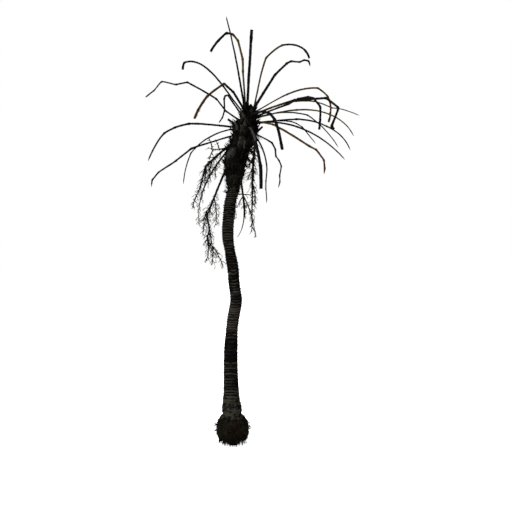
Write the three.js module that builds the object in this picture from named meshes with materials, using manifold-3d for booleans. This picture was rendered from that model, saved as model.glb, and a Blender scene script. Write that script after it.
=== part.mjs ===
// A dead feather palm, charred and bare: a ringed stem that sways up from a round mass of roots to a
// swollen head of old leaf bases, with the bare ribs of its fronds arching out of the head and its dry
// flower stalks hanging under them.
// Millimetres, +Z up, +X to the right of the front view, +Y away from it. The origin is the middle of the
// flat cut at ground level. A turn is measured in degrees from +X towards +Y, a rise in degrees above level.
import * as THREE from "three";
import Module from "manifold-3d";

const manifold = await Module();
manifold.setup();

const CLEARANCE = 0.3; // between two pieces that touch
const SINK = 60; // how deep the foot of a rib or stalk starts inside the head, before the head is cut from it
const LINE_STEPS = 120; // steps in which the line of a rib, stalk or branch is walked
const LINE_TOLERANCE = 7; // how far the few points kept of such a line may leave it
const GOLDEN_TURN = 137.5; // degrees between one leaf base or twig and the next

// ---------------------------------------------------------------- the stem, its head and its roots

// Height, then how far the stem's middle stands right and back of the foot, at each bend of the stem.
const STEM_SWAY = [
  [0, 0, 0],
  [600, -16, 10],
  [1000, -36, 20],
  [1900, -52, 32],
  [2350, -40, 20],
  [2800, -2, -6],
  [3250, 72, -30],
  [3600, 28, -24],
  [3920, 5, 0],
  [4150, -34, 30],
  [4600, -112, 60],
  [4830, -119, 60],
  [5280, -86, 36],
  [5500, -52, 20],
  [5730, 8, 6],
  [6400, 62, -10],
  [6630, 142, -6],
  [6850, 242, 0],
  [7300, 328, 14],
  [7700, 410, 24],
];
// Height and radius of the stem: a plug among the roots, the swollen foot, the taper, and the part inside
// the head.
const STEM_GIRTH = [
  [0, 90],
  [420, 120],
  [580, 180],
  [660, 198],
  [790, 212],
  [950, 198],
  [1170, 178],
  [1400, 166],
  [1850, 157],
  [2300, 148],
  [2550, 134],
  [3000, 138],
  [3250, 133],
  [3450, 127],
  [3870, 128],
  [4150, 130],
  [4370, 117],
  [4600, 127],
  [5050, 131],
  [5445, 133],
  [5700, 134],
  [5900, 120],
  [6600, 110],
  [7150, 60],
];
const STEM_SIDES = 16;
const STEM_LEVELS = 46;

// Height and radius of the head's core, over which the old leaf bases stand.
const HEAD_GIRTH = [
  [5640, 140],
  [5770, 146],
  [5860, 172],
  [6040, 220],
  [6220, 238],
  [6400, 252],
  [6580, 266],
  [6760, 272],
  [6940, 274],
  [7120, 262],
  [7210, 242],
  [7300, 204],
  [7400, 162],
  [7500, 128],
  [7590, 98],
  [7660, 58],
];
// Height and radius of the heart of the head, on which the feet of the ribs and stalks are set.
const HEART_GIRTH = [
  [5640, 140],
  [5900, 168],
  [6120, 205],
  [6345, 228],
  [6570, 250],
  [6795, 252],
  [7020, 212],
  [7245, 166],
  [7425, 136],
  [7560, 100],
  [7660, 58],
];
const HEAD_SIDES = 18;
const HEAD_LEVELS = 17;
const LEAF_BASES = 72;
const LEAF_BASE_ZONE = [5800, 7130]; // heights between which leaf bases stand
const LEAF_BASE_LENGTH = [130, 205]; // at the bottom and at the top of the head
const LEAF_BASE_RISE = [72, 57];
const LEAF_BASE_WIDTHS = [44, 24]; // half its width at the core and at its end
const LEAF_BASE_FLATNESS = 0.4;
const LEAF_BASE_SIDES = 5;
const LEAF_BASE_DEPTH = 34; // how deep it starts inside the core
const LEAF_BASE_STRAY = { turn: 14, rise: 12, length: 0.2 }; // degrees, degrees and a share of the length
const LEAF_BASE_STEPS = 8; // the steps in which its way out of the head is tested
const LEAF_BASE_SEED = 41;

// Height and radius of the root mass, a round cushion that narrows to its flat cut at the ground.
const ROOT_GIRTH = [
  [0, 112],
  [60, 142],
  [110, 192],
  [165, 276],
  [220, 322],
  [320, 348],
  [430, 350],
  [520, 326],
  [590, 282],
  [655, 214],
];
const ROOT_SIDES = 20;
const ROOT_LEVELS = 13;
const ROOT_TIPS = 75;
const ROOT_TIP_LENGTH = [34, 78];
const ROOT_TIP_WIDTHS = [8, 2];
const ROOT_TIP_DEPTH = 24; // how deep it starts inside the cushion
const ROOT_TIP_ZONE = [24, 595]; // heights between which root tips stand
const ROOT_TIP_RISE = [-46, 40]; // at the bottom and at the top of the cushion
const ROOT_TIP_STRAY = 20; // degrees
const ROOT_TIP_LOWEST = 6; // no tip comes nearer to the ground
const ROOT_TIP_SEED = 97;

// ---------------------------------------------------------------- the fronds

// Each frond is a bare rib. It leaves the head at a height (foot) and a turn, rises at an angle, and droops
// over its length by droop degrees, later the larger its ease. Each of its snaps is a share of the length,
// a drop in degrees and sometimes a swing to the side. girth scales its thickness. A blunt rib ends thick,
// in what is left of its leaflets, and any other tapers. A brown rib has kept some of its colour.
const FRONDS = [
  {
    foot: 7600, turn: 152, length: 1790, rise: 94, droop: 0, ease: 1, girth: 1.45, blunt: true,
    snaps: [],
  },
  {
    foot: 7550, turn: 130, length: 2560, rise: 76, droop: 8, ease: 2, girth: 0.95,
    snaps: [],
  },
  {
    foot: 7590, turn: 197, length: 2480, rise: 86, droop: 30, ease: 4, girth: 0.9, blunt: true, brown: true,
    snaps: [[0.36, -2], [0.47, 10], [0.64, 26], [0.71, 38], [0.77, 46]],
  },
  {
    foot: 7590, turn: 20, length: 2500, rise: 78, droop: 128, ease: 3.6, girth: 0.9, blunt: true, brown: true,
    snaps: [[0.5, 18, -12], [0.69, 10]],
  },
  {
    foot: 7500, turn: -50, length: 2260, rise: 43, droop: 8, ease: 1, girth: 1.35,
    snaps: [[0.47, 15], [0.65, 14], [0.71, 24], [0.83, -24], [0.89, 26], [0.95, 50]],
  },
  {
    foot: 7560, turn: 219, length: 2060, rise: 47, droop: 28, ease: 3, girth: 1.15, blunt: true, brown: true,
    snaps: [[0.28, 18], [0.42, 60], [0.7, 8]],
  },
  {
    foot: 7460, turn: 158, length: 2260, rise: 53, droop: 94, ease: 4.6, girth: 1, blunt: true,
    snaps: [[0.93, 50]],
  },
  {
    foot: 7290, turn: 176, length: 2680, rise: 35, droop: 4, ease: 1, girth: 1.15,
    snaps: [[0.17, -18], [0.3, 22, 8], [0.58, 38, -14], [0.68, -24], [0.81, 62], [0.91, -14]],
  },
  {
    foot: 7390, turn: 150, length: 1460, rise: 53, droop: 0, ease: 1, girth: 0.8,
    snaps: [[0.5, 60], [0.55, 60], [0.6, 27], [0.78, -25], [0.9, -20]],
  },
  {
    foot: 7130, turn: 188, length: 2470, rise: 6, droop: 42, ease: 2, girth: 1.1,
    snaps: [[0.47, 8, -8], [0.6, 8], [0.71, 18, -10]],
  },
  {
    foot: 7140, turn: 143, length: 2420, rise: 4, droop: 68, ease: 1.2, girth: 0.9,
    snaps: [[0.68, 20]],
  },
  {
    foot: 6960, turn: 206, length: 2530, rise: -19, droop: 12, ease: 2, girth: 1.1,
    snaps: [[0.47, 16, 6], [0.66, -8], [0.85, 10, 10], [0.94, 34]],
  },
  {
    foot: 7540, turn: 12, length: 2680, rise: 32, droop: 92, ease: 2.5, girth: 0.9, blunt: true, brown: true,
    snaps: [[0.35, 0, 8], [0.65, 24, 10], [0.77, 16], [0.82, 14]],
  },
  {
    foot: 7460, turn: -20, length: 2600, rise: 19, droop: 20, ease: 1, girth: 1.05, blunt: true,
    snaps: [[0.4, 12], [0.53, -6], [0.67, 38], [0.81, 70], [0.97, -70]],
  },
  {
    foot: 7350, turn: -34, length: 2370, rise: 12, droop: 18, ease: 3, girth: 1, blunt: true,
    snaps: [[0.42, -8], [0.53, 14], [0.63, 18], [0.69, 32], [0.8, 36]],
  },
  {
    foot: 7340, turn: -4, length: 2540, rise: 15, droop: 80, ease: 2, girth: 1, brown: true,
    snaps: [[0.4, 0, -8], [0.7, 0, -8]],
  },
  {
    foot: 7480, turn: 28, length: 3360, rise: 27, droop: 56, ease: 1.4, girth: 0.85, brown: true,
    snaps: [[0.56, 6], [0.73, -19]],
  },
  {
    foot: 7370, turn: 38, length: 2990, rise: 19, droop: 54, ease: 1.5, girth: 0.9,
    snaps: [[0.58, 14]],
  },
  {
    foot: 7230, turn: 16, length: 2700, rise: 11, droop: 80, ease: 2.5, girth: 1.1,
    snaps: [[0.4, 0, 7], [0.7, 0, -12]],
  },
  {
    foot: 7230, turn: -16, length: 2380, rise: 11, droop: 61, ease: 0.8, girth: 1.15,
    snaps: [],
  },
  {
    foot: 7250, turn: 51, length: 2750, rise: 16, droop: 20, ease: 1, girth: 0.85,
    snaps: [[0.58, 8], [0.66, 6], [0.75, 14]],
  },
  {
    foot: 7280, turn: -34, length: 2460, rise: -14, droop: 8, ease: 1, girth: 1.05, brown: true,
    snaps: [[0.25, 14], [0.68, -6], [0.76, 24], [0.88, 30], [0.95, 14]],
  },
  {
    foot: 7430, turn: -54, length: 1860, rise: 8, droop: 50, ease: 1, girth: 1.3, blunt: true,
    snaps: [[0.28, 8], [0.48, 12], [0.6, 14]],
  },
  {
    foot: 7000, turn: -48, length: 1880, rise: -22, droop: 30, ease: 1.5, girth: 0.95,
    snaps: [[0.42, 24], [0.52, 26], [0.6, -42], [0.67, 10], [0.75, 44], [0.86, -24], [0.93, 22]],
  },
  {
    foot: 7060, turn: 61, length: 2060, rise: -4, droop: 120, ease: 1, girth: 0.85,
    snaps: [[0.55, 14], [0.75, -22], [0.84, -24]],
  },
  {
    foot: 7120, turn: -74, length: 1950, rise: -14, droop: 76, ease: 0.8, girth: 1.3, blunt: true,
    snaps: [[0.55, -10], [0.75, 14]],
  },
  {
    foot: 7100, turn: 106, length: 2200, rise: 14, droop: 112, ease: 1.1, girth: 1,
    snaps: [[0.6, 10]],
  },
  {
    foot: 7330, turn: 93, length: 2300, rise: 38, droop: 100, ease: 1.2, girth: 1, blunt: true,
    snaps: [[0.4, 12]],
  },
  {
    foot: 7180, turn: 99, length: 2350, rise: 20, droop: 90, ease: 1.3, girth: 0.95,
    snaps: [[0.7, 12]],
  },
  {
    foot: 6960, turn: -24, length: 320, rise: 38, droop: 0, ease: 1, girth: 1.1, blunt: true,
    snaps: [],
  },
  {
    foot: 7130, turn: 206, length: 360, rise: 30, droop: 0, ease: 1, girth: 1.2, blunt: true,
    snaps: [],
  },
];
const RIB_SIDES = 5;
const RIB_FOOT = 31; // half the width of the clasping foot of a rib of girth 1
const RIB_NECK = 25; // half its width where the foot has narrowed
const RIB_NECK_AT = 0.1;
const RIB_TIP = 12;
const RIB_BLUNT_TIP = 23;
const RIB_FLATNESS = 0.82; // thickness over width
const SNAP_SPAN = 0.03; // share of the length over which a snap bends
const BOW_LIMIT = 430; // a rib that bows further than this from its chord is two pieces, parted at its bend
const LIMB_ROOM = 6; // the least gap between two limbs
const MOVE_FOOT = 18; // how a limb that meets an earlier one is moved: its foot in steps along the head,
const MOVE_TURN = 3; // its turn in steps round it,
const MOST_MOVES = 12; // and at most so many steps of each

// ---------------------------------------------------------------- the flower stalks

// The stem of a stalk follows the same rule as a rib. Each of its branches is a share of the stem, a turn,
// a rise and a length. Twigs stand on the stem beyond its bare share and all along the branches, twigSpacing
// apart, and twigLength holds their shortest and longest.
const STALKS = [
  {
    name: "flower_stalk_left_upper",
    foot: 6830, turn: 202, length: 1900, rise: -61, droop: 8, ease: 1, girth: 1.3,
    snaps: [[0.08, -22], [0.5, 32], [0.72, -10]],
    bare: 0.24, twigSpacing: 60, twigLength: [80, 170],
    branches: [[0.3, 160, -30, 330], [0.38, 230, -60, 420], [0.48, 140, -70, 380]],
  },
  {
    name: "flower_stalk_left_back",
    foot: 6650, turn: 168, length: 1950, rise: -48, droop: 50, ease: 1.6, girth: 1,
    snaps: [],
    bare: 0.2, twigSpacing: 84, twigLength: [60, 130],
    branches: [[0.25, 190, -70, 300]],
  },
  {
    name: "flower_stalk_left_long",
    foot: 6190, turn: 204, length: 2440, rise: -66, droop: 4, ease: 1, girth: 1.2,
    snaps: [[0.5, 34], [0.62, -28], [0.72, 58], [0.85, -16]],
    bare: 0.27, twigSpacing: 68, twigLength: [70, 170],
    branches: [
      [0.32, 330, -74, 620],
      [0.38, 190, -52, 420],
      [0.44, 150, -60, 560],
      [0.6, 340, -74, 480],
      [0.62, 200, -72, 380],
      [0.74, 20, -84, 420],
      [0.8, 340, -80, 380],
    ],
  },
  {
    name: "flower_stalk_right_upper",
    foot: 6800, turn: -42, length: 2120, rise: -20, droop: 4, ease: 1, girth: 1.3,
    snaps: [[0.06, 38], [0.1, 38], [0.4, -8]],
    bare: 0.1, twigSpacing: 66, twigLength: [70, 150],
    branches: [
      [0.12, 190, -34, 230],
      [0.22, 204, -52, 300],
      [0.3, 330, -80, 420],
      [0.34, 186, -56, 280],
      [0.48, 10, -72, 560],
    ],
  },
  {
    name: "flower_stalk_front",
    foot: 5980, turn: -38, length: 1430, rise: -79, droop: 58, ease: 3, girth: 1.1,
    snaps: [],
    bare: 1, twigSpacing: 130, twigLength: [50, 110],
    branches: [
      [0.3, 204, 0, 300],
      [0.31, 24, 12, 190],
      [0.31, 24, -60, 1000],
      [0.33, 196, -50, 280],
      [0.36, 330, -72, 420],
    ],
  },
  {
    name: "flower_stalk_left_thin",
    foot: 6700, turn: 226, length: 820, rise: -22, droop: -34, ease: 2, girth: 0.7,
    snaps: [],
    bare: 0.4, twigSpacing: 100, twigLength: [50, 110],
    branches: [[0.6, 150, 78, 220], [0.85, 170, 84, 240], [0.8, 230, -50, 280]],
  },
  {
    name: "flower_stalk_back",
    foot: 6480, turn: 96, length: 1500, rise: -48, droop: 44, ease: 0.6, girth: 1.1,
    snaps: [],
    bare: 0.25, twigSpacing: 98, twigLength: [60, 120],
    branches: [[0.35, 70, -60, 330], [0.5, 140, -70, 330], [0.7, 80, -76, 300]],
  },
];
const STALK_FOOT = 22; // radii of a stalk of girth 1 at its foot and tip
const STALK_TIP = 11;
const BRANCH_FOOT = 12;
const BRANCH_TIP = 7.5;
const BRANCH_HANG = 24; // degrees by which a branch droops over its length
const TWIG_ROOT = 6;
const TWIG_POINT = 2.6;
const TWIG_HANG = 0.2; // how far it sags, as a share of its length
const BRANCH_BARE = 0.15; // the share of a branch without twigs
const TWIG_SPREAD = 38; // degrees between a twig and the stalk that it stands on
const TWIG_ROOM = 8; // the least gap between a twig and a limb
const TWIG_STRAY = { turn: 40, spread: [0.7, 1.2] }; // degrees, and shares of the spread
const TWIG_SHORTENS = 0.55; // the length of the last twig of a line over that of the first
const TWIG_STEPS = 4; // the steps in which its way is tested
const TWIG_SIDES = 3;
const STALK_SIDES = 4;
const STALK_SEED = 700; // of the first stalk, and one more for each further one

// ---------------------------------------------------------------- numbers and directions

// The next values of a seeded row of even random numbers from 0 to 1.
function seeded(seed) {
  let state = seed >>> 0;
  return () => {
    state = (Math.imul(state, 1664525) + 1013904223) >>> 0;
    return state / 4294967296;
  };
}

const mix = (a, b, share) => a + (b - a) * share;
const clamp01 = (x) => Math.min(1, Math.max(0, x));
const easeStep = (x) => clamp01(x) ** 2 * (3 - 2 * clamp01(x));

// A smooth curve through the rows of a table, whose first column rises, read at one place in one column.
function tableAt(table, place, column = 1) {
  const last = table.length - 1;
  if (place <= table[0][0]) return table[0][column];
  if (place >= table[last][0]) return table[last][column];
  const i = table.findIndex((row, k) => k < last && place < table[k + 1][0]);
  const slope = (k) => {
    const [a, b] = [table[Math.max(0, k - 1)], table[Math.min(last, k + 1)]];
    return (b[column] - a[column]) / (b[0] - a[0]);
  };
  const span = table[i + 1][0] - table[i][0];
  const t = (place - table[i][0]) / span;
  const rising = t * t * (3 - 2 * t);
  return (
    mix(table[i][column], table[i + 1][column], rising) +
    span * t * (1 - t) * ((1 - t) * slope(i) - t * slope(i + 1))
  );
}

function heading(turn, rise) {
  const [a, b] = [THREE.MathUtils.degToRad(turn), THREE.MathUtils.degToRad(rise)];
  return new THREE.Vector3(Math.cos(a) * Math.cos(b), Math.sin(a) * Math.cos(b), Math.sin(b));
}

const headRadius = (z) => tableAt(HEAD_GIRTH, z);
const rootRadius = (z) => tableAt(ROOT_GIRTH, z);
const stemMiddle = (z) => new THREE.Vector3(tableAt(STEM_SWAY, z, 1), tableAt(STEM_SWAY, z, 2), z);

// ---------------------------------------------------------------- solids

// A closed geometry from rings of points, each ring with as many points as the first.
function skin(rings) {
  const sides = rings[0].length;
  const points = rings.flat();
  const faces = [];
  for (let r = 0; r + 1 < rings.length; r++) {
    for (let i = 0; i < sides; i++) {
      const [a, b] = [r * sides + i, r * sides + ((i + 1) % sides)];
      faces.push(a, b, b + sides, a, b + sides, a + sides);
    }
  }
  const top = (rings.length - 1) * sides;
  for (let i = 1; i + 1 < sides; i++) faces.push(0, i + 1, i, top, top + i, top + i + 1);
  const geometry = new THREE.BufferGeometry().setFromPoints(points);
  geometry.setIndex(faces);
  return geometry;
}

// A manifold-3d solid from a closed geometry whose points are already shared.
function solid(geometry) {
  return new manifold.Manifold(
    new manifold.Mesh({
      numProp: 3,
      vertProperties: new Float32Array(geometry.attributes.position.array),
      triVerts: new Uint32Array(geometry.index.array),
    }),
  );
}

// The largest of the bodies that a cut has left.
function largest(cut) {
  return cut.decompose().reduce((best, body) => (body.volume() > best.volume() ? body : best));
}

function geometryOf(body) {
  const { vertProperties, triVerts } = body.getMesh();
  const geometry = new THREE.BufferGeometry();
  geometry.setAttribute("position", new THREE.BufferAttribute(vertProperties, 3));
  geometry.setIndex(new THREE.BufferAttribute(triVerts, 1));
  geometry.computeVertexNormals();
  return geometry;
}

// A level ring of points round a middle.
function levelRing(middle, radius, sides) {
  return Array.from({ length: sides }, (_, i) => {
    const a = (2 * Math.PI * i) / sides;
    return new THREE.Vector3(middle.x + radius * Math.cos(a), middle.y + radius * Math.sin(a), middle.z);
  });
}

// A tapering limb along a line of points, with half its width at each point. Its flatness is its thickness
// over its width.
function limb(points, widths, sides, flatness = 1) {
  const side = new THREE.Vector3();
  const rings = points.map((point, i) => {
    const ahead = points[Math.min(i + 1, points.length - 1)].clone();
    const along = ahead.sub(points[Math.max(i - 1, 0)]).normalize();
    if (i === 0) side.set(-along.y, along.x, 0);
    if (side.lengthSq() === 0) side.set(1, 0, 0);
    side.addScaledVector(along, -side.dot(along)).normalize();
    const up = new THREE.Vector3().crossVectors(along, side);
    return Array.from({ length: sides }, (_, k) => {
      const a = (2 * Math.PI * k) / sides;
      const around = side.clone().multiplyScalar(widths[i] * Math.cos(a));
      return around.addScaledVector(up, flatness * widths[i] * Math.sin(a)).add(point);
    });
  });
  return skin(rings);
}

// ---------------------------------------------------------------- lines of fronds and stalks

// The rise of a frond or stalk at a share of its length, and how far it has swung to the side.
function riseAt({ rise, droop, ease, snaps }, share) {
  let [angle, swing] = [rise - droop * share ** ease, 0];
  for (const [at, drop, sideways = 0] of snaps) {
    const bent = easeStep((share - at) / SNAP_SPAN + 0.5);
    angle -= drop * bent;
    swing += sideways * bent;
  }
  return [angle, swing];
}

// The line of a frond, stalk or branch from its start outwards, as points in even steps.
function walk(record, start) {
  const line = [start.clone()];
  for (let i = 0; i < LINE_STEPS; i++) {
    const [angle, swing] = riseAt(record, (i + 0.5) / LINE_STEPS);
    const step = heading(record.turn + swing, angle);
    line.push(line[i].clone().addScaledVector(step, record.length / LINE_STEPS));
  }
  return line;
}

// A straight line of points.
function straight(from, to, steps) {
  return Array.from({ length: steps + 1 }, (_, i) => from.clone().lerp(to, i / steps));
}

// Where a frond or stalk starts, sunk below the surface of the head's heart.
function footOf({ foot, turn, rise }) {
  const surface = stemMiddle(foot).addScaledVector(heading(turn, 0), tableAt(HEART_GIRTH, foot));
  return surface.addScaledVector(heading(turn, rise), -SINK);
}

// The numbers of the few points of a line that keep it within LINE_TOLERANCE.
function keptPoints(line, from = 0, to = line.length - 1) {
  const chord = new THREE.Line3(line[from], line[to]);
  let [far, furthest] = [0, from];
  for (let i = from + 1; i < to; i++) {
    const gap = line[i].distanceTo(chord.closestPointToPoint(line[i], true, new THREE.Vector3()));
    if (gap > far) [far, furthest] = [gap, i];
  }
  if (far <= LINE_TOLERANCE) return [from, to];
  return [...keptPoints(line, from, furthest), ...keptPoints(line, furthest, to).slice(1)];
}

// The point at which a line stands furthest from its chord, and how far.
function bendOf(line) {
  const chord = new THREE.Line3(line[0], line[line.length - 1]);
  const gaps = line.map((p) => p.distanceTo(chord.closestPointToPoint(p, true, new THREE.Vector3())));
  const bow = Math.max(...gaps);
  return [gaps.indexOf(bow), bow];
}

// Half the width of a rib at a share of its length.
function ribWidth({ girth, blunt }, share) {
  const foot = mix(RIB_FOOT, RIB_NECK, easeStep(share / RIB_NECK_AT));
  const tip = blunt ? RIB_BLUNT_TIP : RIB_TIP;
  return girth * mix(foot, tip, clamp01((share - RIB_NECK_AT) / (1 - RIB_NECK_AT)));
}

const stalkWidth = ({ girth }, share) => girth * mix(STALK_FOOT, STALK_TIP, share);
const branchWidth = (_, share) => mix(BRANCH_FOOT, BRANCH_TIP, share);
const twigWidth = (_, share) => mix(TWIG_ROOT, TWIG_POINT, share);
const leafBaseWidth = (_, share) => mix(...LEAF_BASE_WIDTHS, share);

// ---------------------------------------------------------------- the pieces

const finish = (color, roughness) => new THREE.MeshStandardMaterial({ color, roughness, metalness: 0 });
const bark = finish(0x2b2723, 0.9);
const leafBase = finish(0x1f1c1a, 0.95);
const blackRib = finish(0x1b1a19, 0.85);
const brownRib = finish(0x3a2a1a, 0.85);
const dryStalk = finish(0x221f1b, 0.9);
const rootFibre = finish(0x2a211b, 1);

const palm = new THREE.Group();

function place(name, geometry, material) {
  const mesh = new THREE.Mesh(geometry, material);
  mesh.name = name;
  palm.add(mesh);
}

// A round body along the stem between two heights, with a radius by height.
function turned(from, to, levels, sides, radius) {
  return skin(
    Array.from({ length: levels + 1 }, (_, i) => {
      const z = mix(from, to, i / levels);
      return levelRing(stemMiddle(z), radius(z), sides);
    }),
  );
}

const stemTop = STEM_GIRTH[STEM_GIRTH.length - 1][0];
const rootTop = ROOT_GIRTH[ROOT_GIRTH.length - 1][0];
const stemGrown = (growth, top) =>
  turned(0, top, STEM_LEVELS, STEM_SIDES, (z) => tableAt(STEM_GIRTH, z) + growth);
place("trunk", stemGrown(0, stemTop), bark);

const headBottom = HEAD_GIRTH[0][0];
const headTop = HEAD_GIRTH[HEAD_GIRTH.length - 1][0];
const headGrown = (growth) => {
  const radius = (z) => headRadius(z) + growth;
  return solid(turned(headBottom - growth, headTop + growth, HEAD_LEVELS, HEAD_SIDES, radius));
};
const headCut = headGrown(CLEARANCE);
const stemCut = solid(stemGrown(CLEARANCE, stemTop + CLEARANCE));

// What stands round the head so far, as spheres along its lines.
const standing = [];

function remember(line, widthOf, record, owner) {
  line.forEach((point, i) => {
    const radius = widthOf(record, i / (line.length - 1));
    if (!buried(point, radius)) standing.push({ point, radius, owner });
  });
}

// Whether a ball lies wholly inside the head's core.
function buried(point, radius) {
  if (point.z > headTop || point.z < headBottom) return false;
  return point.distanceTo(stemMiddle(point.z)) + radius < headRadius(point.z);
}

function clearOfOthers(point, radius, room, owner) {
  return standing.every((other) => {
    const reach = other.radius + radius + room;
    if (Math.abs(other.point.z - point.z) > reach || other.owner === owner) return true;
    return other.point.distanceTo(point) > reach;
  });
}

function clearOfStem(point, radius) {
  if (point.z > headTop) return true;
  const girth = point.z > headBottom ? headRadius(point.z) : tableAt(STEM_GIRTH, point.z);
  return point.distanceTo(stemMiddle(point.z)) > girth + radius + TWIG_ROOM;
}

// Whether a whole line keeps its distance from what other owners have there.
function lineIsClear(line, widthOf, record, room, owner) {
  const last = line.length - 1;
  return line.every((point, i) => {
    const radius = widthOf(record, i / last);
    return buried(point, radius) || clearOfOthers(point, radius, room, owner);
  });
}

// A frond or stalk with its foot and turn moved, by as few steps as it takes, to clear all before it.
function settled(record, widthOf, owner) {
  const steps = Array.from({ length: 2 * MOST_MOVES + 1 }, (_, i) => i - MOST_MOVES);
  const moves = steps.flatMap((i) => steps.map((j) => [i, j]));
  moves.sort((a, b) => Math.hypot(...a) - Math.hypot(...b));
  for (const [i, j] of moves) {
    const moved = { ...record, foot: record.foot + i * MOVE_FOOT, turn: record.turn + j * MOVE_TURN };
    const line = walk(moved, footOf(moved));
    if (moved.foot < headTop && lineIsClear(line, widthOf, moved, LIMB_ROOM, owner)) {
      remember(line, widthOf, moved, owner);
      return { ...moved, line, owner };
    }
  }
  throw new Error(`${owner} finds no room`);
}

// A limb as a solid.
function grown({ line, ...record }, widthOf, sides, flatness) {
  const kept = keptPoints(line);
  const widths = kept.map((i) => widthOf(record, i / (line.length - 1)));
  return solid(limb(kept.map((i) => line[i]), widths, sides, flatness));
}

const seated = (body) => geometryOf(largest(body.subtract(headCut)));

const frondName = (i) => `frond_${String(i + 1).padStart(2, "0")}`;
const fronds = FRONDS.map((record, i) => settled(record, ribWidth, frondName(i)));
const stalks = STALKS.map((record) => settled(record, stalkWidth, record.name));

fronds.forEach((frond) => {
  const material = frond.brown ? brownRib : blackRib;
  const rib = grown(frond, ribWidth, RIB_SIDES, RIB_FLATNESS);
  const [bend, bow] = bendOf(frond.line);
  if (bow < BOW_LIMIT) {
    place(frond.owner, seated(rib), material);
    return;
  }
  const along = frond.line[LINE_STEPS].clone().sub(frond.line[0]).normalize();
  const offset = along.dot(frond.line[bend]);
  const foot = rib.trimByPlane(along.clone().negate().toArray(), CLEARANCE / 2 - offset);
  const end = rib.trimByPlane(along.toArray(), CLEARANCE / 2 + offset);
  place(`${frond.owner}_foot`, seated(foot), material);
  place(`${frond.owner}_end`, geometryOf(largest(end)), material);
});

// Twigs all along a line of a flower stalk from one share of it onwards, each skipped where it has no room.
function growTwigs(parts, line, length, from, record, random) {
  const count = Math.floor((length * (1 - from)) / record.twigSpacing);
  for (let i = 0; i < count; i++) {
    const share = mix(from, 1, (i + 0.5) / count);
    const at = Math.min(Math.floor(share * LINE_STEPS), LINE_STEPS - 1);
    const root = line[at];
    const along = line[at + 1].clone().sub(root).normalize();
    const round = THREE.MathUtils.degToRad(GOLDEN_TURN * i + TWIG_STRAY.turn * random());
    const out = new THREE.Vector3(Math.cos(round), Math.sin(round), 0);
    out.addScaledVector(along, -out.dot(along)).normalize();
    const spread = THREE.MathUtils.degToRad(TWIG_SPREAD * mix(...TWIG_STRAY.spread, random()));
    const size = mix(...record.twigLength, random()) * mix(1, TWIG_SHORTENS, share);
    const tip = root.clone().addScaledVector(along, size * Math.cos(spread));
    tip.addScaledVector(out, size * Math.sin(spread));
    tip.z -= TWIG_HANG * size;
    const twig = straight(root, tip, TWIG_STEPS).slice(1);
    if (!twig.every((p) => clearOfStem(p, TWIG_ROOT))) continue;
    if (!lineIsClear(twig, twigWidth, {}, TWIG_ROOM, record.owner)) continue;
    remember(twig, twigWidth, {}, record.owner);
    parts.push(solid(limb([root, tip], [TWIG_ROOT, TWIG_POINT], TWIG_SIDES)));
  }
}

stalks.forEach((stalk, index) => {
  const random = seeded(STALK_SEED + index);
  const parts = [grown(stalk, stalkWidth, STALK_SIDES)];
  growTwigs(parts, stalk.line, stalk.length, stalk.bare, stalk, random);
  for (const [share, turn, rise, length] of stalk.branches) {
    const record = { turn, rise, droop: BRANCH_HANG, ease: 1, snaps: [], length };
    const line = walk(record, stalk.line[Math.round(share * LINE_STEPS)]);
    const free = line.every((p) => clearOfStem(p, BRANCH_FOOT));
    if (!free || !lineIsClear(line, branchWidth, {}, TWIG_ROOM, stalk.owner)) continue;
    remember(line, branchWidth, {}, stalk.owner);
    parts.push(grown({ line }, branchWidth, TWIG_SIDES));
    growTwigs(parts, line, length, BRANCH_BARE, stalk, random);
  }
  place(stalk.owner, seated(manifold.Manifold.union(parts)), dryStalk);
});

// The head: its core, bored for the stem, with the stubs of old leaf bases in a spiral round it.
{
  const random = seeded(LEAF_BASE_SEED);
  let head = headGrown(0);
  for (let i = 0; i < LEAF_BASES; i++) {
    const share = (i + 0.5) / LEAF_BASES;
    const z = mix(...LEAF_BASE_ZONE, share);
    const turn = GOLDEN_TURN * i + LEAF_BASE_STRAY.turn * random();
    const rise = mix(...LEAF_BASE_RISE, share) + LEAF_BASE_STRAY.rise * mix(-1, 1, random());
    const length = mix(...LEAF_BASE_LENGTH, share) * (1 + LEAF_BASE_STRAY.length * mix(-1, 1, random()));
    const depth = headRadius(z) - LEAF_BASE_DEPTH;
    const root = stemMiddle(z).addScaledVector(heading(turn, 0), depth);
    const tip = root.clone().addScaledVector(heading(turn, rise), length);
    const along = straight(root, tip, LEAF_BASE_STEPS);
    if (!lineIsClear(along, leafBaseWidth, {}, LIMB_ROOM, "head")) continue;
    head = head.add(solid(limb([root, tip], LEAF_BASE_WIDTHS, LEAF_BASE_SIDES, LEAF_BASE_FLATNESS)));
  }
  place("leaf_base_head", geometryOf(largest(head.subtract(stemCut))), leafBase);
}

// The root mass: a cushion round the foot of the stem, with the tips of roots standing out of it.
{
  const random = seeded(ROOT_TIP_SEED);
  let mass = solid(turned(0, rootTop, ROOT_LEVELS, ROOT_SIDES, rootRadius));
  for (let i = 0; i < ROOT_TIPS; i++) {
    const z = mix(...ROOT_TIP_ZONE, (i + 0.5) / ROOT_TIPS);
    const turn = GOLDEN_TURN * i + ROOT_TIP_STRAY * random();
    const rise = mix(...ROOT_TIP_RISE, z / rootTop) + ROOT_TIP_STRAY * mix(-1, 1, random());
    const length = ROOT_TIP_DEPTH + mix(...ROOT_TIP_LENGTH, random());
    const root = stemMiddle(z).addScaledVector(heading(turn, 0), rootRadius(z) - ROOT_TIP_DEPTH);
    const tip = root.clone().addScaledVector(heading(turn, rise), length);
    tip.z = Math.max(tip.z, ROOT_TIP_LOWEST);
    mass = mass.add(solid(limb([root, tip], ROOT_TIP_WIDTHS, TWIG_SIDES)));
  }
  place("root_mass", geometryOf(largest(mass.subtract(stemCut))), rootFibre);
}

export default palm;
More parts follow.
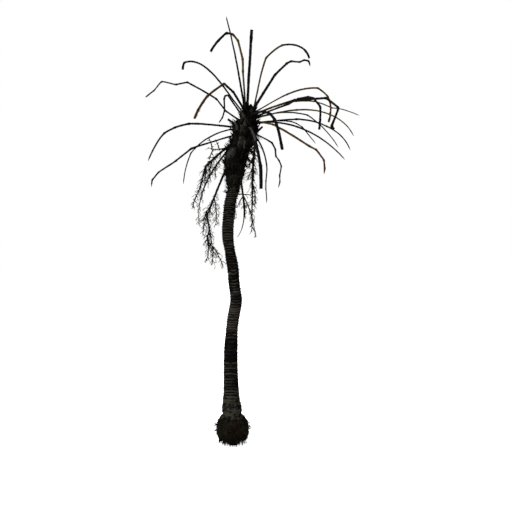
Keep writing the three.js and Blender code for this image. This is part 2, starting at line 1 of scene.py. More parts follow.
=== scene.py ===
import bpy
import numpy as np
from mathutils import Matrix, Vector


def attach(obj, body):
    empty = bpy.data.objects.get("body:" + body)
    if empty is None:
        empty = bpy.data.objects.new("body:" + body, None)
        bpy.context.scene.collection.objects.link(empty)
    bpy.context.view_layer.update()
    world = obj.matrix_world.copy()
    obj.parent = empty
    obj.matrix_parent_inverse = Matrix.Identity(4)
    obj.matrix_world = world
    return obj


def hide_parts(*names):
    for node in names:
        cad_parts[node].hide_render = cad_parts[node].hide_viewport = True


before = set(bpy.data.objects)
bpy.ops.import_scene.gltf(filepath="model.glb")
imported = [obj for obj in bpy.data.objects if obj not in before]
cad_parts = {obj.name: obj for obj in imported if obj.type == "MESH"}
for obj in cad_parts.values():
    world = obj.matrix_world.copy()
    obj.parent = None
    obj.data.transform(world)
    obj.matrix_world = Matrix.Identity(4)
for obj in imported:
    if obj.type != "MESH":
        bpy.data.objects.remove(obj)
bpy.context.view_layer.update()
scene = bpy.context.scene

MM = 0.001

# ---------------------------------------------------------------- the rules of the solids, written again

SINK = 60
LINE_STEPS = 120
GOLDEN_TURN = 137.5
STEM_SWAY = [
    [0, 0, 0], [600, -16, 10], [1000, -36, 20], [1900, -52, 32], [2350, -40, 20],
    [2800, -2, -6], [3250, 72, -30], [3600, 28, -24], [3920, 5, 0], [4150, -34, 30],
    [4600, -112, 60], [4830, -119, 60], [5280, -86, 36], [5500, -52, 20], [5730, 8, 6],
    [6400, 62, -10], [6630, 142, -6], [6850, 242, 0], [7300, 328, 14], [7700, 410, 24],
]
STEM_GIRTH = [
    [0, 90], [420, 120], [580, 180], [660, 198], [790, 212], [950, 198], [1170, 178],
    [1400, 166], [1850, 157], [2300, 148], [2550, 134], [3000, 138], [3250, 133], [3450, 127],
    [3870, 128], [4150, 130], [4370, 117], [4600, 127], [5050, 131], [5445, 133], [5700, 134],
    [5900, 120], [6600, 110], [7150, 60],
]
HEAD_GIRTH = [
    [5640, 140], [5770, 146], [5860, 172], [6040, 220], [6220, 238], [6400, 252], [6580, 266],
    [6760, 272], [6940, 274], [7120, 262], [7210, 242], [7300, 204], [7400, 162], [7500, 128],
    [7590, 98], [7660, 58],
]
HEART_GIRTH = [
    [5640, 140], [5900, 168], [6120, 205], [6345, 228], [6570, 250], [6795, 252], [7020, 212],
    [7245, 166], [7425, 136], [7560, 100], [7660, 58],
]
HEAD_BOTTOM, HEAD_TOP = HEAD_GIRTH[0][0], HEAD_GIRTH[-1][0]
LEAF_BASE_WIDTHS, LEAF_BASE_DEPTH, LEAF_BASE_STEPS = (44, 24), 34, 8
ROOT_GIRTH = [
    [0, 112], [60, 142], [110, 192], [165, 276], [220, 322], [320, 348], [430, 350], [520, 326],
    [590, 282], [655, 214],
]
ROOT_TOP = ROOT_GIRTH[-1][0]
RIB_FOOT, RIB_NECK, RIB_NECK_AT, RIB_TIP, RIB_BLUNT_TIP, RIB_FLATNESS = 31, 25, 0.1, 12, 23, 0.82
SNAP_SPAN = 0.03
LIMB_ROOM, NEAR, MOVE_FOOT, MOVE_TURN, MOST_MOVES = 6, 120, 18, 3, 12
STALK_FOOT, STALK_TIP, BRANCH_FOOT, BRANCH_TIP, BRANCH_HANG = 22, 11, 12, 7.5, 24
TWIG_ROOT, TWIG_POINT, TWIG_HANG, BRANCH_BARE, TWIG_SPREAD, TWIG_ROOM = 6, 2.6, 0.2, 0.15, 38, 8
TWIG_STRAY_TURN, TWIG_STRAY_SPREAD, TWIG_SHORTENS, TWIG_STEPS, STALK_SEED = 40, (0.7, 1.2), 0.55, 4, 700


LIMB = ("foot", "turn", "length", "rise", "droop", "ease", "girth", "snaps")


def limb(*shape, **more):
    """A frond or a flower stalk. Its tints are pairs of the share of its length up to which a colour lasts,
    and the colour."""
    return {"blunt": False, "tints": ((1, "black"),), **dict(zip(LIMB, shape)), **more}


FRONDS = [
    limb(7600, 152, 1790, 94, 0, 1, 1.45, [], blunt=True),
    limb(7550, 130, 2560, 76, 8, 2, 0.95, []),
    limb(7590, 197, 2480, 86, 30, 4, 0.9, [[0.36, -2], [0.47, 10], [0.64, 26], [0.71, 38], [0.77, 46]],
         blunt=True, tints=((0.2, "black"), (0.42, "olive"), (0.72, "brown"), (1, "black"))),
    limb(7590, 20, 2500, 78, 128, 3.6, 0.9, [[0.5, 18, -12], [0.69, 10]],
         blunt=True, tints=((0.7, "brown"), (1, "black"))),
    limb(7500, -50, 2260, 43, 8, 1, 1.35, [[0.47, 15], [0.65, 14], [0.71, 24], [0.83, -24], [0.89, 26],
                                           [0.95, 50]]),
    limb(7560, 219, 2060, 47, 28, 3, 1.15, [[0.28, 18], [0.42, 60], [0.7, 8]],
         blunt=True, tints=((0.42, "black"), (1, "brown"))),
    limb(7460, 158, 2260, 53, 94, 4.6, 1, [[0.93, 50]], blunt=True),
    limb(7290, 176, 2680, 35, 4, 1, 1.15, [[0.17, -18], [0.3, 22, 8], [0.58, 38, -14], [0.68, -24],
                                           [0.81, 62], [0.91, -14]]),
    limb(7390, 150, 1460, 53, 0, 1, 0.8, [[0.5, 60], [0.55, 60], [0.6, 27], [0.78, -25], [0.9, -20]]),
    limb(7130, 188, 2470, 6, 42, 2, 1.1, [[0.47, 8, -8], [0.6, 8], [0.71, 18, -10]]),
    limb(7140, 143, 2420, 4, 68, 1.2, 0.9, [[0.68, 20]]),
    limb(6960, 206, 2530, -19, 12, 2, 1.1, [[0.47, 16, 6], [0.66, -8], [0.85, 10, 10], [0.94, 34]]),
    limb(7540, 12, 2680, 32, 92, 2.5, 0.9, [[0.35, 0, 8], [0.65, 24, 10], [0.77, 16], [0.82, 14]],
         blunt=True, tints=((0.08, "black"), (0.35, "brown"), (0.6, "olive"), (0.8, "brown"), (1, "rust"))),
    limb(7460, -20, 2600, 19, 20, 1, 1.05, [[0.4, 12], [0.53, -6], [0.67, 38], [0.81, 70], [0.97, -70]],
         blunt=True, tints=((0.07, "black"), (0.32, "brown"), (1, "black"))),
    limb(7350, -34, 2370, 12, 18, 3, 1, [[0.42, -8], [0.53, 14], [0.63, 18], [0.69, 32], [0.8, 36]],
         blunt=True),
    limb(7340, -4, 2540, 15, 80, 2, 1, [[0.4, 0, -8], [0.7, 0, -8]],
         tints=((0.06, "black"), (0.7, "olive"), (1, "brown"))),
    limb(7480, 28, 3360, 27, 56, 1.4, 0.85, [[0.56, 6], [0.73, -19]],
         tints=((0.3, "black"), (0.8, "olive"), (1, "black"))),
    limb(7370, 38, 2990, 19, 54, 1.5, 0.9, [[0.58, 14]]),
    limb(7230, 16, 2700, 11, 80, 2.5, 1.1, [[0.4, 0, 7], [0.7, 0, -12]]),
    limb(7230, -16, 2380, 11, 61, 0.8, 1.15, []),
    limb(7250, 51, 2750, 16, 20, 1, 0.85, [[0.58, 8], [0.66, 6], [0.75, 14]]),
    limb(7280, -34, 2460, -14, 8, 1, 1.05, [[0.25, 14], [0.68, -6], [0.76, 24], [0.88, 30], [0.95, 14]],
         tints=((0.13, "black"), (0.7, "brown"), (1, "rust"))),
    limb(7430, -54, 1860, 8, 50, 1, 1.3, [[0.28, 8], [0.48, 12], [0.6, 14]], blunt=True),
    limb(7000, -48, 1880, -22, 30, 1.5, 0.95, [[0.42, 24], [0.52, 26], [0.6, -42], [0.67, 10], [0.75, 44],
                                               [0.86, -24], [0.93, 22]]),
    limb(7060, 61, 2060, -4, 120, 1, 0.85, [[0.55, 14], [0.75, -22], [0.84, -24]]),
    limb(7120, -74, 1950, -14, 76, 0.8, 1.3, [[0.55, -10], [0.75, 14]],
         blunt=True, tints=((0.4, "grey"), (1, "black"))),
    limb(7100, 106, 2200, 14, 112, 1.1, 1, [[0.6, 10]]),
    limb(7330, 93, 2300, 38, 100, 1.2, 1, [[0.4, 12]], blunt=True),
    limb(7180, 99, 2350, 20, 90, 1.3, 0.95, [[0.7, 12]]),
    limb(6960, -24, 320, 38, 0, 1, 1.1, [], blunt=True),
    limb(7130, 206, 360, 30, 0, 1, 1.2, [], blunt=True),
]
STALKS = [
    limb(6830, 202, 1900, -61, 8, 1, 1.3, [[0.08, -22], [0.5, 32], [0.72, -10]],
         name="left_upper", bare=0.24, spacing=60, lengths=[80, 170],
         branches=[[0.3, 160, -30, 330], [0.38, 230, -60, 420], [0.48, 140, -70, 380]]),
    limb(6650, 168, 1950, -48, 50, 1.6, 1, [],
         name="left_back", bare=0.2, spacing=84, lengths=[60, 130],
         branches=[[0.25, 190, -70, 300]]),
    limb(6190, 204, 2440, -66, 4, 1, 1.2, [[0.5, 34], [0.62, -28], [0.72, 58], [0.85, -16]],
         name="left_long", bare=0.27, spacing=68, lengths=[70, 170],
         branches=[[0.32, 330, -74, 620], [0.38, 190, -52, 420], [0.44, 150, -60, 560],
                   [0.6, 340, -74, 480], [0.62, 200, -72, 380], [0.74, 20, -84, 420],
                   [0.8, 340, -80, 380]]),
    limb(6800, -42, 2120, -20, 4, 1, 1.3, [[0.06, 38], [0.1, 38], [0.4, -8]],
         name="right_upper", bare=0.1, spacing=66, lengths=[70, 150],
         branches=[[0.12, 190, -34, 230], [0.22, 204, -52, 300], [0.3, 330, -80, 420],
                   [0.34, 186, -56, 280], [0.48, 10, -72, 560]]),
    limb(5980, -38, 1430, -79, 58, 3, 1.1, [],
         name="front", bare=1, spacing=130, lengths=[50, 110],
         branches=[[0.3, 204, 0, 300], [0.31, 24, 12, 190], [0.31, 24, -60, 1000], [0.33, 196, -50, 280],
                   [0.36, 330, -72, 420]]),
    limb(6700, 226, 820, -22, -34, 2, 0.7, [],
         name="left_thin", bare=0.4, spacing=100, lengths=[50, 110],
         branches=[[0.6, 150, 78, 220], [0.85, 170, 84, 240], [0.8, 230, -50, 280]]),
    limb(6480, 96, 1500, -48, 44, 0.6, 1.1, [],
         name="back", bare=0.25, spacing=98, lengths=[60, 120],
         branches=[[0.35, 70, -60, 330], [0.5, 140, -70, 330], [0.7, 80, -76, 300]]),
]


def seeded(seed):
    """The next values of a seeded row of even random numbers from 0 to 1."""
    state = seed

    def draw():
        nonlocal state
        state = (state * 1664525 + 1013904223) % 4294967296
        return state / 4294967296

    return draw


def mix(a, b, share):
    return a + (b - a) * share


def ease_step(x):
    x = np.clip(x, 0, 1)
    return x * x * (3 - 2 * x)


def table_at(table, place, column=1):
    """A smooth curve through the rows of a table, read at one or more places in one column."""
    rows = np.asarray(table, float)
    x, y = rows[:, 0], rows[:, column]
    place = np.clip(place, x[0], x[-1])
    i = np.clip(np.searchsorted(x, place, side="right") - 1, 0, len(x) - 2)
    low, high = np.maximum(np.arange(len(x)) - 1, 0), np.minimum(np.arange(len(x)) + 1, len(x) - 1)
    slope = (y[high] - y[low]) / (x[high] - x[low])
    span = x[i + 1] - x[i]
    t = (place - x[i]) / span
    rising = t * t * (3 - 2 * t)
    return mix(y[i], y[i + 1], rising) + span * t * (1 - t) * ((1 - t) * slope[i] - t * slope[i + 1])


def heading(turn, rise):
    a, b = np.radians(turn), np.radians(rise)
    a, b = np.broadcast_arrays(a, b)
    return np.stack([np.cos(a) * np.cos(b), np.sin(a) * np.cos(b), np.sin(b)], axis=-1)


def unit(v):
    return v / np.maximum(np.linalg.norm(v, axis=-1, keepdims=True), 1e-9)


def head_radius(z):
    return table_at(HEAD_GIRTH, z)


def stem_radius(z):
    return table_at(STEM_GIRTH, z)


def stem_middle(z):
    z = np.asarray(z, float)
    return np.stack([table_at(STEM_SWAY, z, 1), table_at(STEM_SWAY, z, 2), z], axis=-1)


def root_radius(z):
    return table_at(ROOT_GIRTH, z)


def beside_stem(z, turn, reach):
    """Places at heights and turns, a distance from the middle of the stem."""
    return stem_middle(z) + heading(turn, 0) * np.asarray(reach)[..., None]


def rise_at(record, share):
    angle = record["rise"] - record["droop"] * share ** record["ease"]
    swing = np.zeros_like(share)
    for at, drop, *sideways in record["snaps"]:
        bent = ease_step((share - at) / SNAP_SPAN + 0.5)
        angle = angle - drop * bent
        swing = swing + (sideways[0] if sideways else 0) * bent
    return angle, swing


def walk(record, start):
    """The line of a frond, stalk or branch from its start outwards, as points in even steps."""
    angle, swing = rise_at(record, (np.arange(LINE_STEPS) + 0.5) / LINE_STEPS)
    steps = heading(record["turn"] + swing, angle) * (record["length"] / LINE_STEPS)
    return np.vstack([start, start + np.cumsum(steps, axis=0)])


def foot_of(record):
    surface = beside_stem(record["foot"], record["turn"], table_at(HEART_GIRTH, record["foot"]))
    return surface - heading(record["turn"], record["rise"]) * SINK


def rib_width(record, share):
    foot = mix(RIB_FOOT, RIB_NECK, ease_step(share / RIB_NECK_AT))
    tip = RIB_BLUNT_TIP if record["blunt"] else RIB_TIP
    return record["girth"] * mix(foot, tip, np.clip((share - RIB_NECK_AT) / (1 - RIB_NECK_AT), 0, 1))


def stalk_width(record, share):
    return record["girth"] * mix(STALK_FOOT, STALK_TIP, share)


def branch_width(_, share):
    return mix(BRANCH_FOOT, BRANCH_TIP, share)


def twig_width(_, share):
    return mix(TWIG_ROOT, TWIG_POINT, share)


def leaf_base_width(_, share):
    return mix(*LEAF_BASE_WIDTHS, share)


class Standing:
    """What stands round the head so far, as balls along its lines, each with its owner's name."""

    def __init__(self):
        self.points, self.radii, self.owners = np.empty((0, 3)), np.empty(0), np.empty(0, "U40")

    def remember(self, line, radii, owner):
        kept = ~buried(line, radii)
        self.points = np.vstack([self.points, line[kept]])
        self.radii = np.append(self.radii, radii[kept])
        self.owners = np.append(self.owners, np.full(kept.sum(), owner))

    def clear(self, line, radii, room, owner):
        """Whether a whole line keeps its distance from what other owners have there."""
        free = ~buried(line, radii)
        middle, reach = (line.min(0) + line.max(0)) / 2, np.ptp(line, axis=0) / 2 + NEAR
        near = np.all(np.abs(self.points - middle) < reach, axis=1) & (self.owners != owner)
        if not near.any() or not free.any():
            return True
        gaps = np.linalg.norm(line[free][:, None] - self.points[near], axis=-1)
        return bool(np.all(gaps > radii[free][:, None] + self.radii[near] + room))

    def take(self, line, radii, room, owner):
        """Remember a line if it is clear, and say whether it is."""
        free = self.clear(line, radii, room, owner)
        if free:
            self.remember(line, radii, owner)
        return free


def buried(points, radii):
    """Whether each ball lies wholly inside the head's core."""
    z = points[..., 2]
    level = (z <= HEAD_TOP) & (z >= HEAD_BOTTOM)
    return level & (np.linalg.norm(points - stem_middle(z), axis=-1) + radii < head_radius(z))


def clear_of_stem(points, radius):
    z = points[..., 2]
    girth = np.where(z > HEAD_BOTTOM, head_radius(z), stem_radius(z))
    off = np.linalg.norm(points - stem_middle(z), axis=-1)
    return (z > HEAD_TOP) | (off > girth + radius + TWIG_ROOM)


def shares_of(line):
    return np.arange(len(line)) / (len(line) - 1)


def straight(start, end, steps):
    return start + (end - start) * (np.arange(steps + 1) / steps)[:, None]


def settled(record, width_of, owner, standing):
    """A frond or stalk with its foot and turn moved, by as few steps as it takes, to clear all before it."""
    steps = range(-MOST_MOVES, MOST_MOVES + 1)
    for i, j in sorted(((i, j) for i in steps for j in steps), key=lambda m: np.hypot(*m)):
        moved = {**record, "foot": record["foot"] + i * MOVE_FOOT, "turn": record["turn"] + j * MOVE_TURN}
        line = walk(moved, foot_of(moved))
        radii = width_of(moved, shares_of(line))
        if moved["foot"] < HEAD_TOP and standing.take(line, radii, LIMB_ROOM, owner):
            return {**moved, "line": line, "owner": owner}
    raise RuntimeError(f"{owner} finds no room")


def grow_twigs(line, length, bare, record, draw, standing):
    """The twigs of the solid along a line of a flower stalk, as pairs of root and tip."""
    made = []
    count = int(length * (1 - bare) / record["spacing"])
    for i in range(count):
        share = mix(bare, 1, (i + 0.5) / count)
        at = min(int(share * LINE_STEPS), LINE_STEPS - 1)
        root, along = line[at], unit(line[at + 1] - line[at])
        out = heading(GOLDEN_TURN * i + TWIG_STRAY_TURN * draw(), 0)
        out = unit(out - along * (out @ along))
        spread = np.radians(TWIG_SPREAD * mix(*TWIG_STRAY_SPREAD, draw()))
        size = mix(*record["lengths"], draw()) * mix(1, TWIG_SHORTENS, share)
        tip = root + along * size * np.cos(spread) + out * size * np.sin(spread)
        tip[2] -= TWIG_HANG * size
        twig = straight(root, tip, TWIG_STEPS)[1:]
        radii = twig_width(None, shares_of(twig))
        clear = clear_of_stem(twig, TWIG_ROOT).all()
        if clear and standing.take(twig, radii, TWIG_ROOM, record["owner"]):
            made.append((root, tip))
    return made


def grow_stalk(record, index, standing):
    """A settled stalk with the lines of its branches and its twigs."""
    draw = seeded(STALK_SEED + index)
    twigs = grow_twigs(record["line"], record["length"], record["bare"], record, draw, standing)
    lines = []
    for share, turn, rise, length in record["branches"]:
        branch = dict(turn=turn, rise=rise, droop=BRANCH_HANG, ease=1, snaps=[], length=length)
        line = walk(branch, record["line"][int(share * LINE_STEPS + 0.5)])
        radii = branch_width(None, shares_of(line))
        clear = clear_of_stem(line, BRANCH_FOOT).all()
        if clear and standing.take(line, radii, TWIG_ROOM, record["owner"]):
            lines.append((line, length))
            twigs += grow_twigs(line, length, BRANCH_BARE, record, draw, standing)
    return {**record, "lines": lines, "twigs": twigs}


standing = Standing()
fronds = [settled(r, rib_width, f"frond_{i + 1:02d}", standing) for i, r in enumerate(FRONDS)]
stalks = [settled(r, stalk_width, f"flower_stalk_{r['name']}", standing) for r in STALKS]
stalks = [grow_stalk(r, i, standing) for i, r in enumerate(stalks)]

# ---------------------------------------------------------------- meshes


def lattice(x, y, z, seed):
    """An even random number from 0 to 1 at each whole-numbered place."""
    mixed = (x * 374761393 + y * 668265263 + z * 1274126177 + seed * 974634777) & 0xFFFFFFFF
    mixed = ((mixed ^ (mixed >> 13)) * 1274126177) & 0xFFFFFFFF
    return ((mixed ^ (mixed >> 16)) & 0xFFFF) / 65535.0


def rough(points, size, seed, octaves=1):
    """Smooth random values from -1 to 1 at points, with features of a size, and finer ones by octaves."""
    total = 0
    for k in range(octaves):
        p = np.asarray(points, float) / (np.asarray(size, float) / 2**k)
        cell = np.floor(p).astype(np.int64)
        f = p - cell
        f = f * f * (3 - 2 * f)
        value = 0
        for corner in np.ndindex(2, 2, 2):
            weight = np.prod(np.where(corner, f, 1 - f), axis=-1)
            value = value + weight * lattice(*np.moveaxis(cell + corner, -1, 0), seed + k)
        total = total + (2 * value - 1) / 2**k
    return total / (2 - 0.5 ** (octaves - 1))


def stray(points, size, seed, octaves=1):
    """Smooth random steps aside, from -1 to 1 along each axis."""
    return np.stack([rough(points, size, seed + c, octaves) for c in range(3)], -1)


def swell(x, width):
    """A smooth bump of height 1 about x = 0."""
    return np.exp(-((x / width) ** 2))


def circle(sides):
    return 2 * np.pi * np.arange(sides) / sides


def upright(z, a, radius):
    """Points at heights and angles round an upright line."""
    return np.stack([radius * np.cos(a), radius * np.sin(a), z], -1)


def round_stem(z, a, radius):
    """Points at heights and angles round the swaying stem."""
    return stem_middle(z) + upright(0 * z, a, radius)


def grid_faces(rings, sides):
    """The faces of rings of points joined into a tube, and its two ends."""
    a = np.arange(sides)
    b = (a + 1) % sides
    base = np.arange(rings - 1)[:, None] * sides
    quads = np.stack([base + a, base + b, base + b + sides, base + a + sides], -1).reshape(-1, 4)
    return [quads, a[None, ::-1], (rings - 1) * sides + a[None]]


def face_middles(points, faces):
    return points.reshape(-1, 3)[faces[0]].mean(1)


def frames_along(line):
    """The side and up directions at each point of a line, carried along it without a twist."""
    along = unit(np.gradient(line, axis=0))
    side = np.array([-along[0][1], along[0][0], 0])
    if side @ side < 1e-6:
        side = np.array([1.0, 0, 0])
    sides = []
    for t in along:
        side = side - t * (side @ t)
        side = side / np.linalg.norm(side)
        sides.append(side)
    sides = np.array(sides)
    return along, sides, np.cross(along, sides)


def strands(lines, radii, sides, flat):
    """Many tapering strands at once: lines holds count x steps points, radii their half widths."""
    along = unit(np.gradient(lines, axis=1))
    steep = np.abs(along[:, :1, 2:]) > 0.9
    side = unit(np.cross(np.where(steep, [1.0, 0, 0], [0, 0, 1.0]), along))
    up = np.cross(along, side)
    a = circle(sides)
    ring = np.cos(a)[:, None] * side[:, :, None] + flat * np.sin(a)[:, None] * up[:, :, None]
    points = lines[:, :, None] + np.broadcast_to(radii, lines.shape[:2])[..., None, None] * ring
    count, rings = lines.shape[:2]
    shift = (np.arange(count) * rings * sides)[:, None, None]
    faces = [(f[None] + shift).reshape(-1, f.shape[1]) for f in grid_faces(rings, sides)]
    return points.reshape(-1, 3), faces


def around_line(line, side, up, across, above):
    """Rings of points about a line, by how far each one is across it and above it."""
    return line[:, None] + side[:, None] * across[..., None] + up[:, None] * above[..., None]


def bent(start, end, steps, sag, rng):
    """Lines from each start to each end that sag and stray a little on their way."""
    t = np.linspace(0, 1, steps)[None, :, None]
    span = np.linalg.norm(end - start, axis=-1)[:, None, None]
    aside = rng.normal(0, 0.06, (len(start), 1, 3)) * span * np.sin(np.pi * t)
    lines = start[:, None] + (end - start)[:, None] * t + aside
    lines[..., 2] += (sag * span * 4 * t * (1 - t))[..., 0]
    return lines


def add_object(name, data):
    made = bpy.data.objects.new(name, data)
    scene.collection.objects.link(made)
    return made


class Piece:
    """The parts of one mesh: points, faces, the number of their material and how light each point is."""

    def __init__(self, name):
        self.name, self.points, self.loops, self.sizes = name, [], [], []
        self.materials, self.tones, self.count = [], [], 0

    def add(self, points, faces, material, tone):
        points = points.reshape(-1, 3)
        for f in faces:
            self.loops.append((f + self.count).ravel())
            self.sizes.append(np.full(len(f), f.shape[1]))
        self.materials.append(np.broadcast_to(material, sum(len(f) for f in faces)))
        self.points.append(points)
        self.tones.append(tone.ravel())
        self.count += len(points)

    def add_strands(self, lines, radii, material, tones, rng, sides=3, flat=1.0):
        """Strands that each have a tone between two, and a material of their own or one for all."""
        points, faces = strands(lines, radii, sides, flat)
        count = len(lines)
        if np.ndim(material):
            material = np.concatenate([np.repeat(material, len(faces[0]) // count), material, material])
        self.add(points, faces, material, rng.uniform(*tones, count).repeat(len(points) // count))

    def make(self, materials, slot, *nodes):
        mesh = bpy.data.meshes.new(self.name)
        points, loops, sizes = (np.concatenate(x) for x in (self.points, self.loops, self.sizes))
        mesh.vertices.add(len(points))
        mesh.vertices.foreach_set("co", (points * MM).ravel())
        mesh.loops.add(len(loops))
        mesh.loops.foreach_set("vertex_index", loops.astype(np.int32))
        mesh.polygons.add(len(sizes))
        starts = np.concatenate([[0], np.cumsum(sizes)[:-1]]).astype(np.int32)
        mesh.polygons.foreach_set("loop_start", starts)
        mesh.polygons.foreach_set("material_index", np.concatenate(self.materials).astype(np.int32))
        mesh.polygons.foreach_set("use_smooth", np.ones(len(sizes), bool))
        mesh.update(calc_edges=True)
        tone = mesh.attributes.new("tone", "FLOAT", "POINT")
        tone.data.foreach_set("value", np.concatenate(self.tones).astype(np.float32))
        for material in materials:
            mesh.materials.append(material)
        made = add_object(self.name, mesh)
        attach(made, "root")
        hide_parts(*nodes)


# ---------------------------------------------------------------- materials


def node(tree, kind, output, values=(), **settings):
    """One output of a new node. Its inputs take values, or the outputs of other nodes."""
    made = tree.nodes.new(kind)
    for key, value in settings.items():
        setattr(made, key, value)
    for key, value in dict(values).items():
        if isinstance(value, bpy.types.NodeSocket):
            tree.links.new(value, made.inputs[key])
        else:
            made.inputs[key].default_value = value
    return made.outputs[output]


def charred(
    name, dark, light, grain, relief,
    roughness=(0.75, 0.95), stretch=(1, 1, 1), stain=None, depth=0.004, shine=0.0,
):
    """Burnt plant matter: its colour goes from dark to light by a fine noise and the piece's own tone, with
    stains of a third colour here and there. grain is the size of its noise and stretch draws it out."""
    made = bpy.data.materials.new(name)
    made.use_nodes = True
    tree = made.node_tree
    shader = tree.nodes["Principled BSDF"]
    shader.inputs["Specular IOR Level"].default_value = shine
    place = node(tree, "ShaderNodeTexCoord", "Object")
    drawn_out = node(tree, "ShaderNodeMapping", "Vector", {"Vector": place, "Scale": stretch})
    noise = {"Vector": drawn_out, "Scale": 1 / grain, "Detail": 6, "Roughness": 0.65}
    fine = node(tree, "ShaderNodeTexNoise", "Fac", noise)
    tone = node(tree, "ShaderNodeAttribute", "Fac", attribute_name="tone")
    both = node(tree, "ShaderNodeMath", "Value", {0: fine, 1: 0.9, 2: tone}, operation="MULTIPLY_ADD")
    spread = node(tree, "ShaderNodeMapRange", "Result", {"Value": both, "From Min": 0.45, "From Max": 1.4})
    deep = node(tree, "ShaderNodeMath", "Value", {0: spread, 1: 1.7}, operation="POWER")
    ends = {"Factor": deep, "A": (*dark, 1), "B": (*light, 1)}
    colour = node(tree, "ShaderNodeMix", "Result", ends, data_type="RGBA")
    if stain:
        patches = {"Vector": place, "Scale": 0.16 / grain, "Detail": 3}
        patch = node(tree, "ShaderNodeTexNoise", "Fac", patches)
        limits = {"Value": patch, "From Min": 0.56, "From Max": 0.74, "To Max": 0.8}
        share = node(tree, "ShaderNodeMapRange", "Result", limits)
        ends = {"Factor": share, "A": colour, "B": (*stain, 1)}
        colour = node(tree, "ShaderNodeMix", "Result", ends, data_type="RGBA")
    tree.links.new(colour, shader.inputs["Base Color"])
    limits = {"Value": fine, "To Min": roughness[1], "To Max": roughness[0]}
    tree.links.new(node(tree, "ShaderNodeMapRange", "Result", limits), shader.inputs["Roughness"])
    bump = node(tree, "ShaderNodeBump", "Normal", {"Height": fine, "Strength": relief, "Distance": depth})
    tree.links.new(bump, shader.inputs["Normal"])
    return made


bark_skins = [
    charred(
        f"bark_{name}", dark, light, 0.022, 0.7,
        stretch=(1, 1, 1.6), stain=(0.0037, 0.004, 0.0043), depth=0.005,
    )
    for name, dark, light in (
        ("warm", (0.0012, 0.0011, 0.001), (0.016, 0.0137, 0.0107)),
        ("green", (0.0012, 0.0012, 0.001), (0.0158, 0.015, 0.0107)),
        ("lilac", (0.0013, 0.0011, 0.0011), (0.0158, 0.0137, 0.0127)),
    )
]
base_skins = {
    "old": charred(
        "base_old", (0.0006, 0.0006, 0.0006), (0.019, 0.0165, 0.013), 0.02, 0.8, stretch=(1.2, 1.2, 0.8)
    ),
    "black": charred("base_black", (0.0007, 0.0007, 0.0008), (0.004, 0.0039, 0.0038), 0.02, 0.8),
    "tan": charred("base_tan", (0.0019, 0.0017, 0.0014), (0.029, 0.027, 0.021), 0.02, 0.8),
    "rust": charred("base_rust", (0.0014, 0.0009, 0.0007), (0.012, 0.0065, 0.0056), 0.02, 0.8),
    "slate": charred(
        "base_slate", (0.0014, 0.0015, 0.0018), (0.0052, 0.0055, 0.0069), 0.03, 0.4, (0.5, 0.7), shine=0.1
    ),
}
fibre = charred("fibre", (0.0019, 0.0016, 0.0014), (0.015, 0.012, 0.0087), 0.03, 0.4)
root_skins = [
    charred(f"root_{name}", dark, light, 0.05, 0.5)
    for name, dark, light in (
        ("olive", (0.0013, 0.0013, 0.001), (0.019, 0.0175, 0.0115)),
        ("red", (0.0015, 0.001, 0.0008), (0.0235, 0.0155, 0.0105)),
        ("dark", (0.0009, 0.0009, 0.0008), (0.0095, 0.0083, 0.0072)),
    )
]
rib_skins = {
    name: charred(f"rib_{name}", dark, light, 0.012, 0.6, (gloss, gloss + 0.3))
    for name, dark, light, gloss in (
        ("black", (0.0011, 0.0011, 0.0011), (0.0056, 0.0056, 0.0055), 0.6),
        # the grey tint is a painted highlight, laid only along the top face of a rib
        ("grey", (0.0093, 0.0093, 0.0081), (0.046, 0.045, 0.04), 0.6),
        ("olive", (0.006, 0.0044, 0.0012), (0.05, 0.036, 0.0097), 0.55),
        ("brown", (0.0062, 0.0038, 0.0013), (0.049, 0.0285, 0.0081), 0.55),
        ("rust", (0.006, 0.0031, 0.0014), (0.046, 0.0225, 0.0095), 0.55),
    )
}
dry_stalk = charred("dry_stalk", (0.0014, 0.0012, 0.0011), (0.0087, 0.0081, 0.0068), 0.015, 0.6)
dry_twig = charred("dry_twig", (0.0019, 0.0017, 0.0014), (0.0099, 0.0087, 0.0068), 0.03, 0.3)

# ---------------------------------------------------------------- the trunk

TRUNK_SIDES, TRUNK_STEP, HIDDEN_STEP = 112, 8, 36
TRUNK_BARE = (540, 5960)  # the heights between which its bark shows and is worked in full
BARK_REACH = 130  # the distance from the middle at which the patterns of the bark are read
# Height, then the distance between two ring scars, how far they stand out, and how light the bark is.
TRUNK_BARK = [
    [0, 60, 0, 0.5], [560, 60, 2, 0.5], [800, 60, 3, 0.5], [1050, 60, 5, 0.53], [1110, 62, 8, 0.58],
    [1200, 62, 7, 0.5], [1270, 62, 6, 0.34], [1450, 62, 6, 0.34], [1650, 62, 9, 0.34],
    [1840, 64, 9, 0.37], [1900, 78, 5, 0.04], [2390, 80, 5, 0.02], [2480, 66, 8, 0.35],
    [2600, 60, 9, 0.52], [2880, 60, 9, 0.58], [2930, 56, 9, 0.78], [3070, 56, 9, 0.78],
    [3130, 62, 11, 0.27], [3440, 66, 10, 0.25], [3700, 74, 7, 0.26], [3950, 70, 7, 0.26],
    [4120, 58, 8, 0.2], [4370, 58, 9, 0.22], [4440, 60, 8, 0.48], [4700, 60, 8, 0.6],
    [5050, 58, 10, 0.6], [5120, 50, 13, 0.34], [5560, 48, 14, 0.3], [5800, 54, 11, 0.34],
    [5960, 60, 8, 0.3],
]
FIRST_RING, LAST_RING = 500, 6000
# The heights and the half width of the broad pale scars.
LIGHT_RINGS, LIGHT_RING = (1204, 1590, 1730, 1850, 3454, 3881, 5096, 5230, 5456, 5625), 15
KNOBBY_TOP, KNOBBY_FADE, KNOB_HEIGHT = 1120, 250, 16
BARK_LAYER, LIP_SHARE, GROOVE_SHARE, LUMP_HEIGHT, CRACK_DEPTH, FLAKE_HEIGHT = 2, 0.9, 0.7, 3.5, 3.2, 1.6


